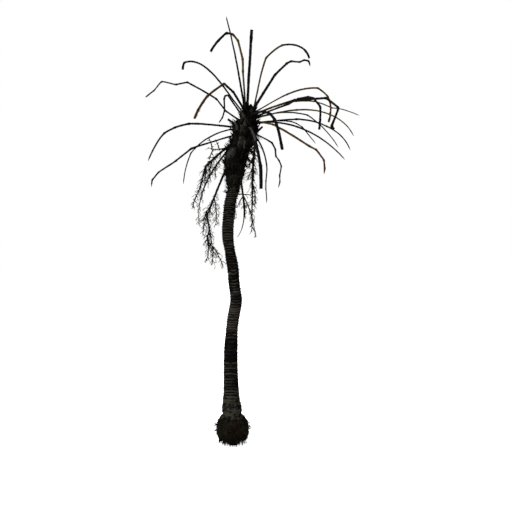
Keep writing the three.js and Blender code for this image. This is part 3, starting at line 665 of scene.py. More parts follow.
def bark_colour(place):
    """The number of the colour of the bark at each place: warm, and here and there green or lilac."""
    low = np.clip((1450 - place[..., 2]) / 500, -0.12, 0.2)
    green = rough(place, (90, 90, 130), 71, 2) + low > 0.14
    lilac = rough(place, (80, 80, 110), 72, 2) + low > 0.2
    return np.where(green, 1, np.where(lilac, 2, 0))


def make_trunk():
    rng = np.random.default_rng(5)
    rings = [FIRST_RING]
    while rings[-1] < LAST_RING:
        rings.append(rings[-1] + table_at(TRUNK_BARK, rings[-1]) * rng.uniform(0.85, 1.15))
    rings = np.array(rings)
    strength = rng.uniform(0.5, 1.4, len(rings))
    shade = rng.uniform(-1, 1, len(rings))

    hidden = np.arange(0, TRUNK_BARE[0], HIDDEN_STEP)
    heights = np.concatenate([hidden, np.arange(*TRUNK_BARE, TRUNK_STEP)])
    z, a = np.meshgrid(heights, circle(TRUNK_SIDES), indexing="ij")
    place = upright(z, a, BARK_REACH)

    # Each scar is a lip above a groove. Both waver; the lip wears away in patches, and the painted highlight
    # on it and the painted shade in the groove come and go in patches.
    wavy = z + 24 * rough(place, (150, 150, 420), 11) + 6 * rough(place, (50, 50, 200), 12)
    k = np.clip(np.searchsorted(rings, wavy, side="right") - 1, 0, len(rings) - 2)
    within = np.clip((wavy - rings[k]) / (rings[k + 1] - rings[k]), 0, 1)
    lip = strength[k] * swell(within, 0.3) + strength[k + 1] * swell(1 - within, 0.16)
    groove = strength[k] * swell(within - 0.55, 0.26)
    patchy = np.clip(0.8 + 1.9 * rough(place, (90, 90, 46), 28, 2), 0, 2)
    groove_shade_patches = np.clip(0.85 + 1.5 * rough(place, (110, 110, 50), 29, 2), 0, 1.8)
    height = table_at(TRUNK_BARK, z, 2)

    lumps = rough(place, (85, 85, 110), 21, 2)
    knobs = 1 - 2.2 * np.abs(rough(place, (85, 85, 66), 22))
    knobby = np.clip((KNOBBY_TOP - z) / KNOBBY_FADE, 0, 1)
    cracks = np.maximum(0, 0.1 - np.abs(rough(place, (38, 38, 84), 23))) / 0.1
    flakes = rough(place, (18, 18, 26), 24, 2)
    radius = stem_radius(z) + BARK_LAYER + height * (LIP_SHARE * lip * patchy - GROOVE_SHARE * groove)
    radius += (
        LUMP_HEIGHT * lumps + KNOB_HEIGHT * knobby * knobs
        - CRACK_DEPTH * cracks * (1 - 0.5 * lip) + FLAKE_HEIGHT * flakes
    )
    radius[: len(hidden)] = stem_radius(z[: len(hidden)]) - 4

    # The tone is painted light and shade: lighter on the lips, darker in the grooves and cracks, more so
    # where the scars stand out further, and near the foot lighter on the crests of the knobs and darker
    # between them.
    bold = np.clip(height / 8, 0, 1.6)
    tone = table_at(TRUNK_BARK, z, 3) + 0.13 * shade[k] * bold
    tone += 0.62 * (lip * patchy - groove * groove_shade_patches) * bold - 0.3 * cracks + 0.6 * knobby * knobs
    tone += 0.12 * rough(place, (120, 120, 60), 26, 2)
    for level in LIGHT_RINGS:
        tone += 0.75 * swell(wavy - level, LIGHT_RING) * (0.7 + 0.9 * rough(place, 90, 27))

    points, faces = round_stem(z, a, radius), grid_faces(len(heights), TRUNK_SIDES)
    colour = np.append(bark_colour(face_middles(points, faces)), [0, 0])
    trunk = Piece("ringed_trunk")
    trunk.add(points, faces, colour, np.clip(tone, -0.2, 1.2))
    trunk.make(bark_skins, "trunk_bark", "trunk")


make_trunk()

# ---------------------------------------------------------------- the head of old leaf bases

CORE_SIDES, CORE_STEP, CORE_FROM, CORE_FOOT, CORE_TO, CORE_ROUNDING = 120, 9, 5560, 118, 7680, 90
BASE_STEPS, BASE_SIDES, BASE_SHORTENED = 12, 12, 0.45
# The old leaf bases of the solid, and finer ones between them. Lengths and rises go from the lowest base to
# the highest, widths from foot to end. Twist, sway and sizes tell how each strays in turn, rise and length.
OLD_BASES = dict(
    count=72, zone=(5800, 7130), lengths=(130, 205), rises=(72, 57), widths=(58, 27),
    twist=(0, 14), sway=12, sizes=(0.8, 1.2), seed=41,
)
FINER_BASES = dict(
    count=190, zone=(5700, 7440), lengths=(90, 150), rises=(70, 58), widths=(50, 28),
    twist=(60, 100), sway=16, sizes=(0.6, 1.15), seed=43,
)
BASE_COLOURS = ("old", "black", "tan", "rust", "slate")
COLOUR_SHARES = (0.4, 0.32, 0.18, 0.07, 0.03)
# Where one colour rules the old bases: height, turn, reach and the colour. The black patches, on the right
# side of the head, low down and under the sheath, are painted shade.
HEAD_PATCHES = [
    (7330, -122, 110, "tan"), (7180, -114, 120, "tan"), (7000, -110, 130, "tan"), (6820, -102, 130, "tan"),
    (6650, -84, 110, "tan"), (6520, -78, 80, "tan"), (7000, -25, 290, "black"), (6640, -32, 260, "black"),
    (6380, -74, 110, "rust"), (6400, -118, 130, "black"), (6160, -120, 150, "black"),
    (6230, -40, 150, "black"),
]
SHEATH_AT, SHEATH_TURN, SHEATH_HALF, SHEATH_RINGS, SHEATH_SIDES = 6530, -122, (116, 84, 176), 22, 28
# Tufts of stiff old fibre: height, turn, rise, length and how many strands.
TUFTS = [
    (7120, 205, 52, 200, 12), (7050, 196, 20, 130, 8), (6060, 198, 40, 220, 3), (5660, 184, 48, 120, 9),
    (6990, -32, -60, 270, 8), (6620, -28, -50, 170, 8), (6850, 200, -10, 150, 9), (6300, 10, -45, 150, 8),
    (6640, 4, -62, 330, 12), (6450, -12, -58, 280, 12), (6800, 8, -64, 300, 8), (6330, 192, 12, 240, 3),
]
TUFT_WIDTHS = (9, 3.5)
FRAYS_PER_BASE, FRAY_LENGTHS, FRAY_WIDTHS = 9, (25, 75), (3.2, 0.8)
LOOSE_FIBRES, LOOSE_ZONE, LOOSE_LENGTHS, LOOSE_WIDTHS = 1500, (5650, 7600), (30, 110), (2.6, 0.8)


def base_colour(place, chance):
    """The number of the colour of an old leaf base at a place on the head."""
    for z, turn, reach, colour in HEAD_PATCHES:
        if np.linalg.norm(place - beside_stem(z, turn, head_radius(z))) < reach:
            return BASE_COLOURS.index(colour)
    return int(np.searchsorted(np.cumsum(COLOUR_SHARES), chance))


def leaf_bases(piece, kind, shorten):
    """Old leaf bases in a spiral round the head: clasping scales that end broken and frayed. Where asked,
    they are shortened so as not to touch a limb. Gives the place, frame and half width of each one's end."""
    t = np.linspace(0, 1, BASE_STEPS)
    c, s = np.cos(circle(BASE_SIDES)), np.sin(circle(BASE_SIDES))
    draw, chances = seeded(kind["seed"]), np.random.default_rng(kind["count"])
    ends = []
    for i in range(kind["count"]):
        share = (i + 0.5) / kind["count"]
        z = mix(*kind["zone"], share)
        turn = GOLDEN_TURN * i + mix(*kind["twist"], draw())
        rise = mix(*kind["rises"], share) + kind["sway"] * mix(-1, 1, draw())
        length = mix(*kind["lengths"], share) * mix(*kind["sizes"], draw())
        root = beside_stem(z, turn, head_radius(z) - LEAF_BASE_DEPTH)
        way = straight(root, root + heading(turn, rise) * length, LEAF_BASE_STEPS)
        if shorten and not standing.clear(way, leaf_base_width(None, shares_of(way)), LIMB_ROOM, "head"):
            length *= BASE_SHORTENED
        tip = root + heading(turn, rise) * length
        middle = (root + tip) / 2 + heading(turn, rise + 90) * length * 0.1
        line = ((1 - t) ** 2)[:, None] * root + (2 * t * (1 - t))[:, None] * middle + (t**2)[:, None] * tip
        along, side, up = frames_along(line)
        half = mix(*kind["widths"], ease_step(t * 1.2)) * (1 + 0.12 * np.sin(9 * t + i))
        thick = half * mix(0.34, 0.22, t)
        folded = thick[:, None] * s + (0.55 * half)[:, None] * (c**2 - 0.5)
        points = around_line(line, side, up, half[:, None] * c, folded)
        points += along[:, None] * (rough(points, 12, 31 + i)[..., None] * 22) * (t**4)[:, None, None]
        points += up[:, None] * (rough(points, (16, 16, 60), 400 + i) * 3.5)[..., None]
        tone = chances.uniform(-0.15, 0.6) + 0.35 * c**2 * (0.5 + t[:, None]) + 0.3 * rough(points, 40, 77)
        colour = base_colour(root, chances.random() * 0.999)
        piece.add(points, grid_faces(BASE_STEPS, BASE_SIDES), colour, tone)
        ends.append((line[-2], along[-1], side[-2:], half[-2]))
    return ends


def add_core(piece):
    """The core of the head, streaked and scaly, with a rounded top."""
    heights = np.arange(CORE_FROM, CORE_TO - CORE_STEP + 1, CORE_STEP)
    z, a = np.meshgrid(heights, circle(CORE_SIDES), indexing="ij")
    core = table_at([[CORE_FROM, CORE_FOOT]] + HEAD_GIRTH, z) - 4
    core = core * np.clip((CORE_TO - z) / CORE_ROUNDING, 0.04, 1) ** 0.5
    place = upright(z, a, 200)
    streaks = rough(place, (20, 20, 220), 41, 2)
    scales = 1 - 2 * np.abs(rough(place, (150, 150, 170), 42))
    radius = core - 12 + 9 * scales + 7 * streaks + 10 * rough(place, 110, 43)
    tone = 0.3 * scales + 0.3 * streaks + 0.25 * rough(place, 130, 44)
    piece.add(round_stem(z, a, radius), grid_faces(len(heights), CORE_SIDES), 0, tone)


def add_sheath(piece):
    """One smooth old sheath, folded across its lower end, that bulges out of the head."""
    around, over = np.meshgrid(circle(SHEATH_SIDES), np.linspace(-0.48, 0.48, SHEATH_RINGS) * np.pi)
    outward, across = heading(SHEATH_TURN, 0), heading(SHEATH_TURN + 90, 0)
    upward = unit(np.array([0.35, 0, 1]))
    wide, deep, tall = SHEATH_HALF
    folds = 1 + 0.05 * np.sin(over * 26) * np.clip(0.2 - over, 0, 1)
    folds = folds + 0.03 * rough(np.stack([around, over, 0 * over], -1), 0.5, 91)
    ring = np.cos(around)[..., None] * across * wide + np.sin(around)[..., None] * outward * deep
    points = np.cos(over)[..., None] * ring * folds[..., None] + np.sin(over)[..., None] * upward * tall
    points = points + beside_stem(SHEATH_AT, SHEATH_TURN, head_radius(SHEATH_AT) - 40)
    # The tone is a painted highlight towards its top and darker towards its foot, with painted shade in bands
    # across the folds at its lower end.
    tone = 0.2 + 0.5 * np.sin(over) - 0.4 * np.clip(np.sin(over * 26), 0, 1) * np.clip(0.1 - over, 0, 1)
    tone = tone + 0.35 * rough(points, 60, 92, 2)
    piece.add(points, grid_faces(SHEATH_RINGS, SHEATH_SIDES), BASE_COLOURS.index("slate"), tone)


def make_head_fibre(bases):
    """Frayed ends of the bases, loose fibre from between them, and stiff tufts."""
    fringe, rng = Piece("head_fibre"), np.random.default_rng(17)
    starts, ends = [], []
    for place, along, side, half in bases:
        across = rng.uniform(-0.9, 0.9, FRAYS_PER_BASE)[:, None]
        out = unit(along + side[1] * across * 0.5 + rng.normal(0, 0.25, (FRAYS_PER_BASE, 3)))
        starts.append(place + side[0] * half * across)
        ends.append(starts[-1] + out * rng.uniform(*FRAY_LENGTHS, (FRAYS_PER_BASE, 1)))
    lines = bent(np.vstack(starts), np.vstack(ends), 4, -0.04, rng)
    fringe.add_strands(lines, np.linspace(*FRAY_WIDTHS, 4), 0, (0.2, 0.8), rng)

    z = rng.uniform(*LOOSE_ZONE, LOOSE_FIBRES)
    turn = rng.uniform(0, 360, LOOSE_FIBRES)
    start = beside_stem(z, turn, head_radius(z) - 6)
    out = heading(turn + rng.normal(0, 35, LOOSE_FIBRES), rng.uniform(-80, 60, LOOSE_FIBRES))
    lines = bent(start, start + out * rng.uniform(*LOOSE_LENGTHS, (LOOSE_FIBRES, 1)), 5, -0.1, rng)
    fringe.add_strands(lines, np.linspace(*LOOSE_WIDTHS, 5), 0, (0.1, 0.8), rng)

    for z, turn, rise, length, count in TUFTS:
        start = beside_stem(z, turn, head_radius(z) - 20) + rng.normal(0, 14, (count, 3))
        out = heading(turn + rng.normal(0, 16, count), rise + rng.normal(0, 14, count))
        lines = bent(start, start + out * length * rng.uniform(0.45, 1, (count, 1)), 6, 0.05, rng)
        fringe.add_strands(lines, np.linspace(*TUFT_WIDTHS, 6), 0, (0, 0.5), rng, sides=4)
    fringe.make([fibre], "leaf_base")


head = Piece("leaf_base_crown")
add_core(head)
bases = leaf_bases(head, OLD_BASES, True) + leaf_bases(head, FINER_BASES, False)
add_sheath(head)
head.make([base_skins[n] for n in BASE_COLOURS], "leaf_base", "leaf_base_head")
make_head_fibre(bases)

# ---------------------------------------------------------------- the mass of roots at the foot

CUSHION_SIDES, CUSHION_STEP, CUSHION_TOP, CUSHION_NECK = 112, 9, 712, 172
SHOULDER_FROM, SHOULDER_HEIGHT = 560, 150
ROOT_LYING, ROOT_STICKING, ROOT_BRISTLES = 6200, 420, 190
ROOT_HANGING, HANG_ZONE, HANG_DROPS, HANG_WIDTHS = 135, (125, 270), (85, 230), (9, 3.6)
ROOT_FINGERS, FINGER_TOP, FINGER_OUT = 30, 640, 192
FINGER_WIDTHS = np.array([3, 11, 15, 14, 13, 12, 10, 8, 5])
KNOBS, KNOB_ZONE, KNOB_SIZES, KNOB_SUNK, KNOB_RINGS, KNOB_SIDES = 150, (602, 940), (36, 66), 0.74, 9, 12


def root_colour(place):
    """The number of the colour of the roots at each place: olive, red, or dark near the ground."""
    turned = np.arctan2(place[..., 1], place[..., 0]) + 1.5
    red = np.cos(3 * turned) + rough(place, 120, 64) > 0.2
    dark = place[..., 2] + 110 * rough(place, 120, 65) < 300
    return np.where(dark, 2, np.where(red, 1, 0))


def make_cushion():
    """The cushion under the roots, roped and lumpy, with a shoulder round the foot of the trunk."""
    heights = np.arange(0, CUSHION_TOP, CUSHION_STEP)
    z, a = np.meshgrid(heights, circle(CUSHION_SIDES), indexing="ij")
    shoulder = np.clip((z - SHOULDER_FROM) / SHOULDER_HEIGHT, 0, 1)
    core = root_radius(np.minimum(z, ROOT_TOP)) - 20 - 26 * np.clip((150 - z) / 90, 0, 1)
    core = mix(core, CUSHION_NECK, shoulder**2)
    ball = round_stem(z, a, core)
    ropes = rough(ball, (34, 34, 130), 61, 2)
    radius = core + 7 * ropes + 10 * rough(ball, 110, 62) * np.clip(z / 120, 0, 1)
    points, faces = round_stem(z, a, radius), grid_faces(len(heights), CUSHION_SIDES)
    colour = np.append(root_colour(face_middles(points, faces)), [2, 0])
    cushion = Piece("root_cushion")
    cushion.add(points, faces, colour, 0.35 + 0.5 * ropes + 0.4 * rough(ball, 130, 63))
    cushion.make(root_skins, "root_fibre", "root_mass")


def add_root_hairs(piece, count, rng, lying, zone, lengths, widths, wisp=1):
    """Thin roots over a zone of the cushion, lying down along it or standing out of it, alone or in wisps."""
    z = rng.uniform(*zone, count // wisp).repeat(wisp) + (wisp - 1) * rng.normal(0, 3, count)
    turn = rng.uniform(0, 360, count // wisp).repeat(wisp) + (wisp - 1) * rng.normal(0, 0.7, count)
    start = beside_stem(z, turn, root_radius(z) - 16)
    outward, sideways = heading(turn, 0), heading(turn + 90, 0)
    down = np.array([0, 0, -1.0])
    if lying:
        way = outward * rng.uniform(0, 0.26, (count, 1)) + sideways * rng.normal(0, 0.55, (count, 1))
        way = way + down * rng.uniform(0.2, 1, (count, 1)) * np.where(z > 150, 1, 0.3)[:, None]
        way -= outward * (np.clip((300 - z) / 300, 0, 1) * 0.7)[:, None]
    else:
        way = outward + sideways * rng.normal(0, 0.35 / wisp, (count, 1))
        way = way + down * rng.uniform(-0.2, 0.7, (count, 1))
    lines = bent(start, start + unit(way) * rng.uniform(*lengths, (count, 1)), 5, -0.05, rng)
    lines[..., 2] = np.maximum(lines[..., 2], 5)
    piece.add_strands(lines, np.linspace(*widths, 5), root_colour(start), (0.1, 0.85), rng)


def make_root_hairs(rng):
    hairs = Piece("root_hairs")
    add_root_hairs(hairs, ROOT_LYING, rng, lying=True, zone=(4, 640), lengths=(60, 150), widths=(3.4, 1.2))
    add_root_hairs(hairs, ROOT_STICKING, rng, lying=False, zone=(4, 640), lengths=(40, 110), widths=(4, 1.4))
    add_root_hairs(
        hairs, ROOT_BRISTLES, rng, lying=False, zone=(300, 610), lengths=(85, 170), widths=(6.6, 2.6), wisp=2
    )

    # Hair that hangs from under the widest part of the cushion, almost to the ground.
    z = rng.uniform(*HANG_ZONE, ROOT_HANGING)
    turn = rng.uniform(0, 360, ROOT_HANGING)
    start = beside_stem(z, turn, root_radius(z) - 6)
    end = start + heading(turn, 0) * rng.uniform(-14, 30, (ROOT_HANGING, 1))
    end[:, 2] = z - rng.uniform(*HANG_DROPS, ROOT_HANGING)
    lines = bent(start, end, 5, 0, rng)
    lines[..., 2] = np.maximum(lines[..., 2], 6)
    hairs.add_strands(lines, np.linspace(*HANG_WIDTHS, 5), 2, (0.1, 0.7), rng)
    hairs.make(root_skins, "root_fibre")


def add_fingers(piece, rng):
    """Short thick roots that run from the foot of the trunk down over the shoulder of the cushion."""
    steps = len(FINGER_WIDTHS)
    z = np.linspace(FINGER_TOP, rng.uniform(420, 590, ROOT_FINGERS), steps, axis=1)
    twist = rng.normal(0, 12, (ROOT_FINGERS, 1)) * np.linspace(0, 1, steps)
    turn = GOLDEN_TURN * np.arange(ROOT_FINGERS)[:, None] + twist
    reach = np.where(z > ROOT_TOP, FINGER_OUT, root_radius(np.minimum(z, ROOT_TOP)) + 4)
    lines = beside_stem(z, turn, reach)
    widths = rng.uniform(0.6, 1.2, (ROOT_FINGERS, 1)) * FINGER_WIDTHS
    piece.add_strands(lines + 8 * stray(lines, 60, 81), widths, 0, (0.1, 0.6), rng, sides=7)


def add_knobs(piece):
    """Knobs that crowd round the foot of the trunk, sunk deep into it."""
    rng = np.random.default_rng(37)
    lower, upper = KNOB_ZONE
    z = mix(lower, upper, rng.random(KNOBS) ** 1.3)
    turn = GOLDEN_TURN * np.arange(KNOBS) + rng.normal(0, 8, KNOBS)
    size = rng.uniform(*KNOB_SIZES, KNOBS) * mix(1, 0.65, (z - lower) / (upper - lower))
    skin = np.where(z < ROOT_TOP, root_radius(np.minimum(z, ROOT_TOP)), stem_radius(z))
    middle = beside_stem(z, turn, skin - KNOB_SUNK * size + 8)
    levels = np.linspace(-0.46, 0.46, KNOB_RINGS) * np.pi
    over, around = np.meshgrid(levels, circle(KNOB_SIDES), indexing="ij")
    ball = upright(0.8 * np.sin(over), around, np.cos(over))
    for place, half, light in zip(middle, size, rng.uniform(0, 0.9, KNOBS)):
        points = place + ball * half
        points += ball * (rough(points, 34, 95, 2) * 0.45 * half)[..., None]
        # Each knob's tone is painted lighter over its top and darker underneath, as light from above would
        # fall; the rest differs at random from knob to knob.
        tone = light + 0.4 * np.sin(over)
        piece.add(points, grid_faces(KNOB_RINGS, KNOB_SIDES), int(bark_colour(place)), tone)


rng = np.random.default_rng(29)
make_cushion()
make_root_hairs(rng)
fingers = Piece("root_fingers")
add_fingers(fingers, rng)
add_knobs(fingers)
fingers.make(bark_skins, "root_fibre")

# ---------------------------------------------------------------- the ribs

RIB_STEP, RIB_SIDES_FINE = 11, 10
CHAR = 2.6  # the layer of char and fibre on a rib
THICK_CHAR = {2: 4.5, 3: 8, 4: 4.5, 9: 8.5, 10: 7, 12: 5, 14: 5.5, 22: 8.5}  # on some ribs it is thicker
CLASP_LENGTH, CLASP_SWELL, CHANNEL_DEPTH = 260, 0.9, 0.75
STUB_SPACING, STUBS_KEPT, STUBBED_SHARE, STUB_ZONE = 46, 0.8, 0.82, (0.17, 0.97)
STUB_WIDTHS, LEAFLET_WIDTHS = np.array([3.6, 2.6, 1.1]), np.array([6, 7.5, 5.5, 1.6])
# The share of a rib's length that still has what is left of its leaflets, by the number of the rib.
LEAFLET_ENDS = {
    1: 0.17, 3: 0.26, 4: 0.12, 5: 0.1, 6: 0.3, 7: 0.08, 8: 0.1, 13: 0.1, 14: 0.12, 15: 0.14, 23: 0.12,
    26: 0.3,
}
BLUNT_END = 0.06  # the same share on the other blunt ribs
END_SWELL = 3  # what is left of the leaflets makes an end thicker
CLUMPED_ENDS = {1: 5.5, 7: 9, 26: 5.5}  # and on some ribs more so
BROWN_RIBS = (3, 4, 6, 13, 16, 17, 22)


def along_line(line, share):
    at = shares_of(line)
    return np.stack([np.interp(share, at, line[:, c]) for c in range(3)], -1)


def tint_at(record, names, share):
    ends = [end for end, _ in record["tints"]]
    picked = np.minimum(np.searchsorted(ends, share), len(ends) - 1)
    return np.array([names.index(colour) for _, colour in record["tints"]])[picked]


def rib_half(record, number, share, line):
    """The half width of a rib: knots at its snaps, and a tip that is pointed, or thick with old leaflets."""
    half = rib_width(record, share) + THICK_CHAR.get(number, CHAR)
    half = half * (1 + 0.1 * rough(line, 60, 500 + number, 2))
    for at, *_ in record["snaps"]:
        half = half * (1 + 0.3 * swell(share - at, 0.01))
    if not record["blunt"]:
        half = half * mix(1, 0.35, ease_step((share - 0.965) / 0.035))
    elif number in LEAFLET_ENDS:
        more = CLUMPED_ENDS.get(number, END_SWELL)
        half = half + more * ease_step((share - 1 + LEAFLET_ENDS[number]) / 0.08)
    return half


def add_rib(piece, record, number, names, share, line, side, up, half):
    """The rib itself, with a clasping foot and a channel along its top that fades out."""
    clasp = 1 - ease_step(share * record["length"] / CLASP_LENGTH)
    ring = circle(RIB_SIDES_FINE)
    c, s = np.cos(ring), np.sin(ring)
    wide = half * (1 + CLASP_SWELL * clasp)
    thick = half * RIB_FLATNESS * (1 - 0.25 * clasp)
    channel = CHANNEL_DEPTH * (1 - ease_step((share - 0.15) / 0.3))
    top = np.where(s > 0, s * (1 - channel[:, None] * s**2), s)
    folded = thick[:, None] * top + (0.5 * clasp * wide)[:, None] * (c**2 - 0.5)
    points = around_line(line, side, up, wide[:, None] * c, folded)
    points += (points - line[:, None]) * (0.12 * rough(points, (14, 14, 14), 600 + number))[..., None]
    tint = tint_at(record, names, share[:, None] + 0.05 * rough(points, 55, 800 + number, 2))
    # The grey tint is a painted highlight along the top face of the rib; elsewhere round it the rib is black.
    if "grey" in names:
        tint[:, np.sin(ring + np.pi / RIB_SIDES_FINE) < 0.7] = names.index("black")
    colour = np.append(tint[1:], [tint[0, 0], tint[-1, 0]])
    tone = 0.5 + 0.3 * rough(points, 70, 700 + number, 2)
    piece.add(points, grid_faces(len(share), RIB_SIDES_FINE), colour, tone)


def make_rib(record, number):
    rng = np.random.default_rng(200 + number)
    names = sorted({"black", *(colour for _, colour in record["tints"])})
    length = record["length"]
    count = max(24, int(length / RIB_STEP))
    share = np.linspace(0, 1, count)
    line = along_line(record["line"], share)
    line = line + np.clip(share / 0.08, 0, 1)[:, None] * 5 * stray(line, 190, 300 + number * 3, 2)
    along, side, up = frames_along(line)
    half = rib_half(record, number, share, line)
    piece = Piece(f"frond_rib_{number:02d}")
    add_rib(piece, record, number, names, share, line, side, up, half)

    # Stubs of leaflets in a row down either edge.
    stubs = int(length * STUBBED_SHARE / STUB_SPACING)
    at = mix(*STUB_ZONE, (np.arange(stubs) + 0.5) / max(stubs, 1))
    for edge in (-1, 1):
        spot = np.clip(at + rng.normal(0, 0.3, stubs) * STUB_SPACING / length, 0.1, 0.98)
        spot = spot[rng.random(stubs) < STUBS_KEPT]
        n = len(spot)
        if not n:
            continue
        k = (spot * (count - 1)).astype(int)
        start = line[k] + side[k] * (edge * half[k] * 0.7)[:, None]
        way = along[k] * rng.uniform(0.3, 1.1, (n, 1)) + side[k] * edge
        way = way + up[k] * rng.uniform(-0.5, 0.4, (n, 1))
        size = rng.uniform(7, 20, n) + (rng.random(n) < 0.1) * rng.uniform(10, 35, n)
        lines = bent(start, start + unit(way) * size[:, None], 3, -0.05, rng)
        tint = tint_at(record, names, spot)
        piece.add_strands(lines, STUB_WIDTHS, tint, (0.2, 0.7), rng, sides=4, flat=0.5)

    # What is left of the leaflets at a blunt end hangs along it.
    fray = LEAFLET_ENDS.get(number, BLUNT_END if record["blunt"] else 0)
    n = int(fray * length / 4)
    if n:
        spot = rng.uniform(1 - fray, 0.995, n)
        k = (spot * (count - 1)).astype(int)
        around = rng.uniform(0, 2 * np.pi, n)[:, None]
        off = side[k] * np.cos(around) + up[k] * np.sin(around)
        size = np.minimum(rng.uniform(35, 120, n), (1 - spot) * length)
        target = along_line(line, np.minimum(spot + size / length, 1))
        end = target + off * rng.uniform(6, 26 if record["blunt"] else 11, (n, 1))
        lines = bent(line[k] + off * (half[k] * 0.75)[:, None], end, 4, -0.02, rng)
        tint = tint_at(record, names, spot)
        piece.add_strands(lines, LEAFLET_WIDTHS, tint, (0.1, 0.7), rng, sides=4, flat=0.4)

    nodes = [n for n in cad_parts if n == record["owner"] or n.startswith(record["owner"] + "_")]
    slot = "frond_rib_brown" if number in BROWN_RIBS else "frond_rib_black"
    piece.make([rib_skins[n] for n in names], slot, *nodes)


for i, record in enumerate(fronds):
    make_rib(record, i + 1)

# ---------------------------------------------------------------- the flower stalks

STEM_CHAR, BRANCH_CHAR = 1, 4
SIDE_TWIG_SPACING = 0.62  # of the solid's
SIDE_TWIG_SIZES = (0.45, 1.25)  # of the solid's longest twigs
COARSE_TWIG_WIDTHS, SIDE_TWIG_WIDTHS, FINE_TWIG_WIDTHS = (8.5, 4), (8.5, 4.5), (6, 3.4)
COARSE_TWIG_SAG, SIDE_TWIG_SAG, FINE_TWIG_SAG = -0.03, 0.16, -0.05
FINE_PER_TWIG, FINE_BARE = 3, 0.12
FINE_SIZES = (0.25, 0.55)  # of the length of the twig that they stand on
FINE_SPREAD = 1.5  # of the solid's spread
FINE_HANG, FINE_ROOM, FINE_NEAR = 0.45, 3, 40


def add_tube(piece, line, widths, sides, seed, tone):
    _, side, up = frames_along(line)
    c, s, wide = np.cos(circle(sides)), np.sin(circle(sides)), widths[:, None]
    points = around_line(line, side, up, wide * c, wide * s)
    points += (points - line[:, None]) * (rough(points, 22, seed) * 0.16)[..., None]
    piece.add(points, grid_faces(len(line), sides), 0, tone.repeat(sides))


def sprout(line, length, bare, spacing, sizes, rng):
    """Roots and tips of finer twigs along a line, by the rule of the solid's twigs."""
    n = int(length * (1 - bare) / spacing)
    share = mix(bare, 1, (np.arange(n) + rng.random(n)) / max(n, 1))
    place = share * (len(line) - 1)
    at = np.minimum(place.astype(int), len(line) - 2)
    along = unit(line[at + 1] - line[at])
    root = line[at] + (line[at + 1] - line[at]) * (place - at)[:, None]
    out = heading(GOLDEN_TURN * np.arange(n) + 60 * rng.random(n), 0)
    out = unit(out - along * np.sum(out * along, -1, keepdims=True))
    spread = np.radians(TWIG_SPREAD * FINE_SPREAD * rng.uniform(*TWIG_STRAY_SPREAD, n))
    size = rng.uniform(*sizes, n) * mix(1, TWIG_SHORTENS, share)
    tip = root + along * (size * np.cos(spread))[:, None] + out * (size * np.sin(spread))[:, None]
    tip[:, 2] -= FINE_HANG * size
    return root, tip


def with_room(found, owner, steps, sag, rng):
    """Lines of those fine twigs that keep clear of the stem, the head and every other limb."""
    root, tip = (np.vstack(ends) for ends in zip(*found))
    way = root[:, None] + (tip - root)[:, None] * np.array([0.4, 0.7, 1])[:, None]
    free = clear_of_stem(way, TWIG_POINT).all(1)
    low, high = way.min((0, 1)) - FINE_NEAR, way.max((0, 1)) + FINE_NEAR
    near = np.all((standing.points > low) & (standing.points < high), axis=1) & (standing.owners != owner)
    points, radii = standing.points[near], standing.radii[near]
    for i in np.flatnonzero(free):
        gaps = np.linalg.norm(way[i][:, None] - points, axis=-1)
        free[i] = bool(np.all(gaps > radii + TWIG_POINT + FINE_ROOM))
    return bent(root[free], tip[free], steps, sag, rng)


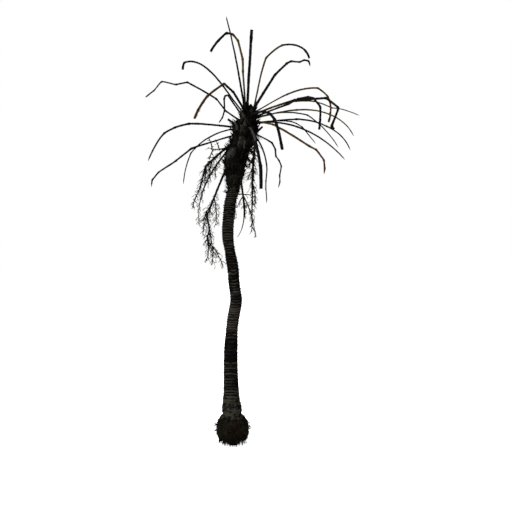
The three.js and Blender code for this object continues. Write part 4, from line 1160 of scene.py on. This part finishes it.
def make_stalk(record, index):
    rng = np.random.default_rng(900 + index)
    piece = Piece(f"dry_{record['owner']}")
    share = np.linspace(0, 1, int(record["length"] / 12))
    line = along_line(record["line"], share)
    line = line + 3 * np.clip(share / 0.1, 0, 1)[:, None] * rough(line, 150, 40 + index)[:, None]
    knots = 1 + 0.25 * np.maximum(0, rough(line, (30, 30, 30), 50 + index))
    widths = (stalk_width(record, share) + STEM_CHAR) * knots * mix(1, 0.5, ease_step(share * 2 - 1))
    add_tube(piece, line, widths, 8, 60 + index, 0.5 + 0.3 * rough(line, 60, 70))
    for way, length in record["lines"]:
        share = np.linspace(0, 1, int(length / 14))
        inner = along_line(way, share)
        widths = branch_width(None, share) + BRANCH_CHAR * (1 - share)
        add_tube(piece, inner, widths, 6, 80 + index, 0.5 + 0.3 * rough(inner, 60, 71))

    # The twigs of the solid, then side twigs between them, then fine twigs on both.
    coarse = np.array([np.stack(t) for t in record["twigs"]])
    twigs = bent(coarse[:, 0], coarse[:, 1], 5, COARSE_TWIG_SAG, rng)
    twigs[:, 0], twigs[:, -1] = coarse[:, 0], coarse[:, 1]
    piece.add_strands(twigs, np.linspace(*COARSE_TWIG_WIDTHS, 5), 1, (0.2, 0.7), rng, sides=4)

    limbs = [(way, length, BRANCH_BARE) for way, length in record["lines"]]
    if record["bare"] < 1:
        limbs.append((record["line"], record["length"], record["bare"]))
    sizes = [record["lengths"][1] * share for share in SIDE_TWIG_SIZES]
    spacing = SIDE_TWIG_SPACING * record["spacing"]
    found = [sprout(way, length, bare, spacing, sizes, rng) for way, length, bare in limbs]
    side_twigs = with_room(found, record["owner"], 6, SIDE_TWIG_SAG, rng)
    piece.add_strands(side_twigs, np.linspace(*SIDE_TWIG_WIDTHS, 6), 1, (0.2, 0.8), rng)

    found = []
    for way in [*twigs, *side_twigs]:
        length = np.linalg.norm(way[-1] - way[0])
        sizes = [share * length for share in FINE_SIZES]
        found.append(sprout(way, length, FINE_BARE, length / FINE_PER_TWIG, sizes, rng))
    fine = with_room(found, record["owner"], 4, FINE_TWIG_SAG, rng)
    piece.add_strands(fine, np.linspace(*FINE_TWIG_WIDTHS, 4), 1, (0.2, 0.8), rng)
    piece.make([dry_stalk, dry_twig], "flower_stalk", record["owner"])


for index, record in enumerate(stalks):
    make_stalk(record, index)

# ---------------------------------------------------------------- floor, light and camera

FLOOR_REACH, FLOOR_LEVEL = 160, -0.002

pale = bpy.data.materials.new("pale_floor")
pale.use_nodes = True
pale_inputs = pale.node_tree.nodes["Principled BSDF"].inputs
pale_inputs["Base Color"].default_value = (0.85, 0.85, 0.85, 1)
pale_inputs["Roughness"].default_value = 0.9
pale_inputs["Emission Color"].default_value = (1, 1, 1, 1)
pale_inputs["Emission Strength"].default_value = 0.9
corners = [(x * FLOOR_REACH, y * FLOOR_REACH, FLOOR_LEVEL) for x, y in ((-1, -1), (1, -1), (1, 1), (-1, 1))]
floor_mesh = bpy.data.meshes.new("floor")
floor_mesh.from_pydata(corners, [], [(0, 1, 2, 3)])
floor_mesh.materials.append(pale)
floor = add_object("floor", floor_mesh)

world = bpy.data.worlds.new("studio")
scene.world = world
world.use_nodes = True
world.node_tree.nodes["Background"].inputs["Color"].default_value = (1, 1, 1, 1)
world.node_tree.nodes["Background"].inputs["Strength"].default_value = 1.0


def soft_light(name, place, power):
    lamp = bpy.data.lights.new(name, "AREA")
    lamp.size, lamp.energy = 6, power
    made = add_object(name, lamp)
    made.location = place
    made.rotation_mode = "QUATERNION"
    made.rotation_quaternion = (Vector((0.2, 0, 5)) - Vector(place)).to_track_quat("-Z", "Y")


soft_light("key", (-13, -9, 13), 8000)
soft_light("fill", (12, -7, 7), 200)

lens = bpy.data.cameras.new("camera")
lens.lens, lens.sensor_width, lens.clip_end = 50, 36, 400
camera = add_object("camera", lens)
camera.location = (0.5175, -15.9975, 4.24125)
camera.rotation_euler = (np.pi / 2, 0, 0)
scene.camera = camera
scene.view_settings.view_transform = "Standard"
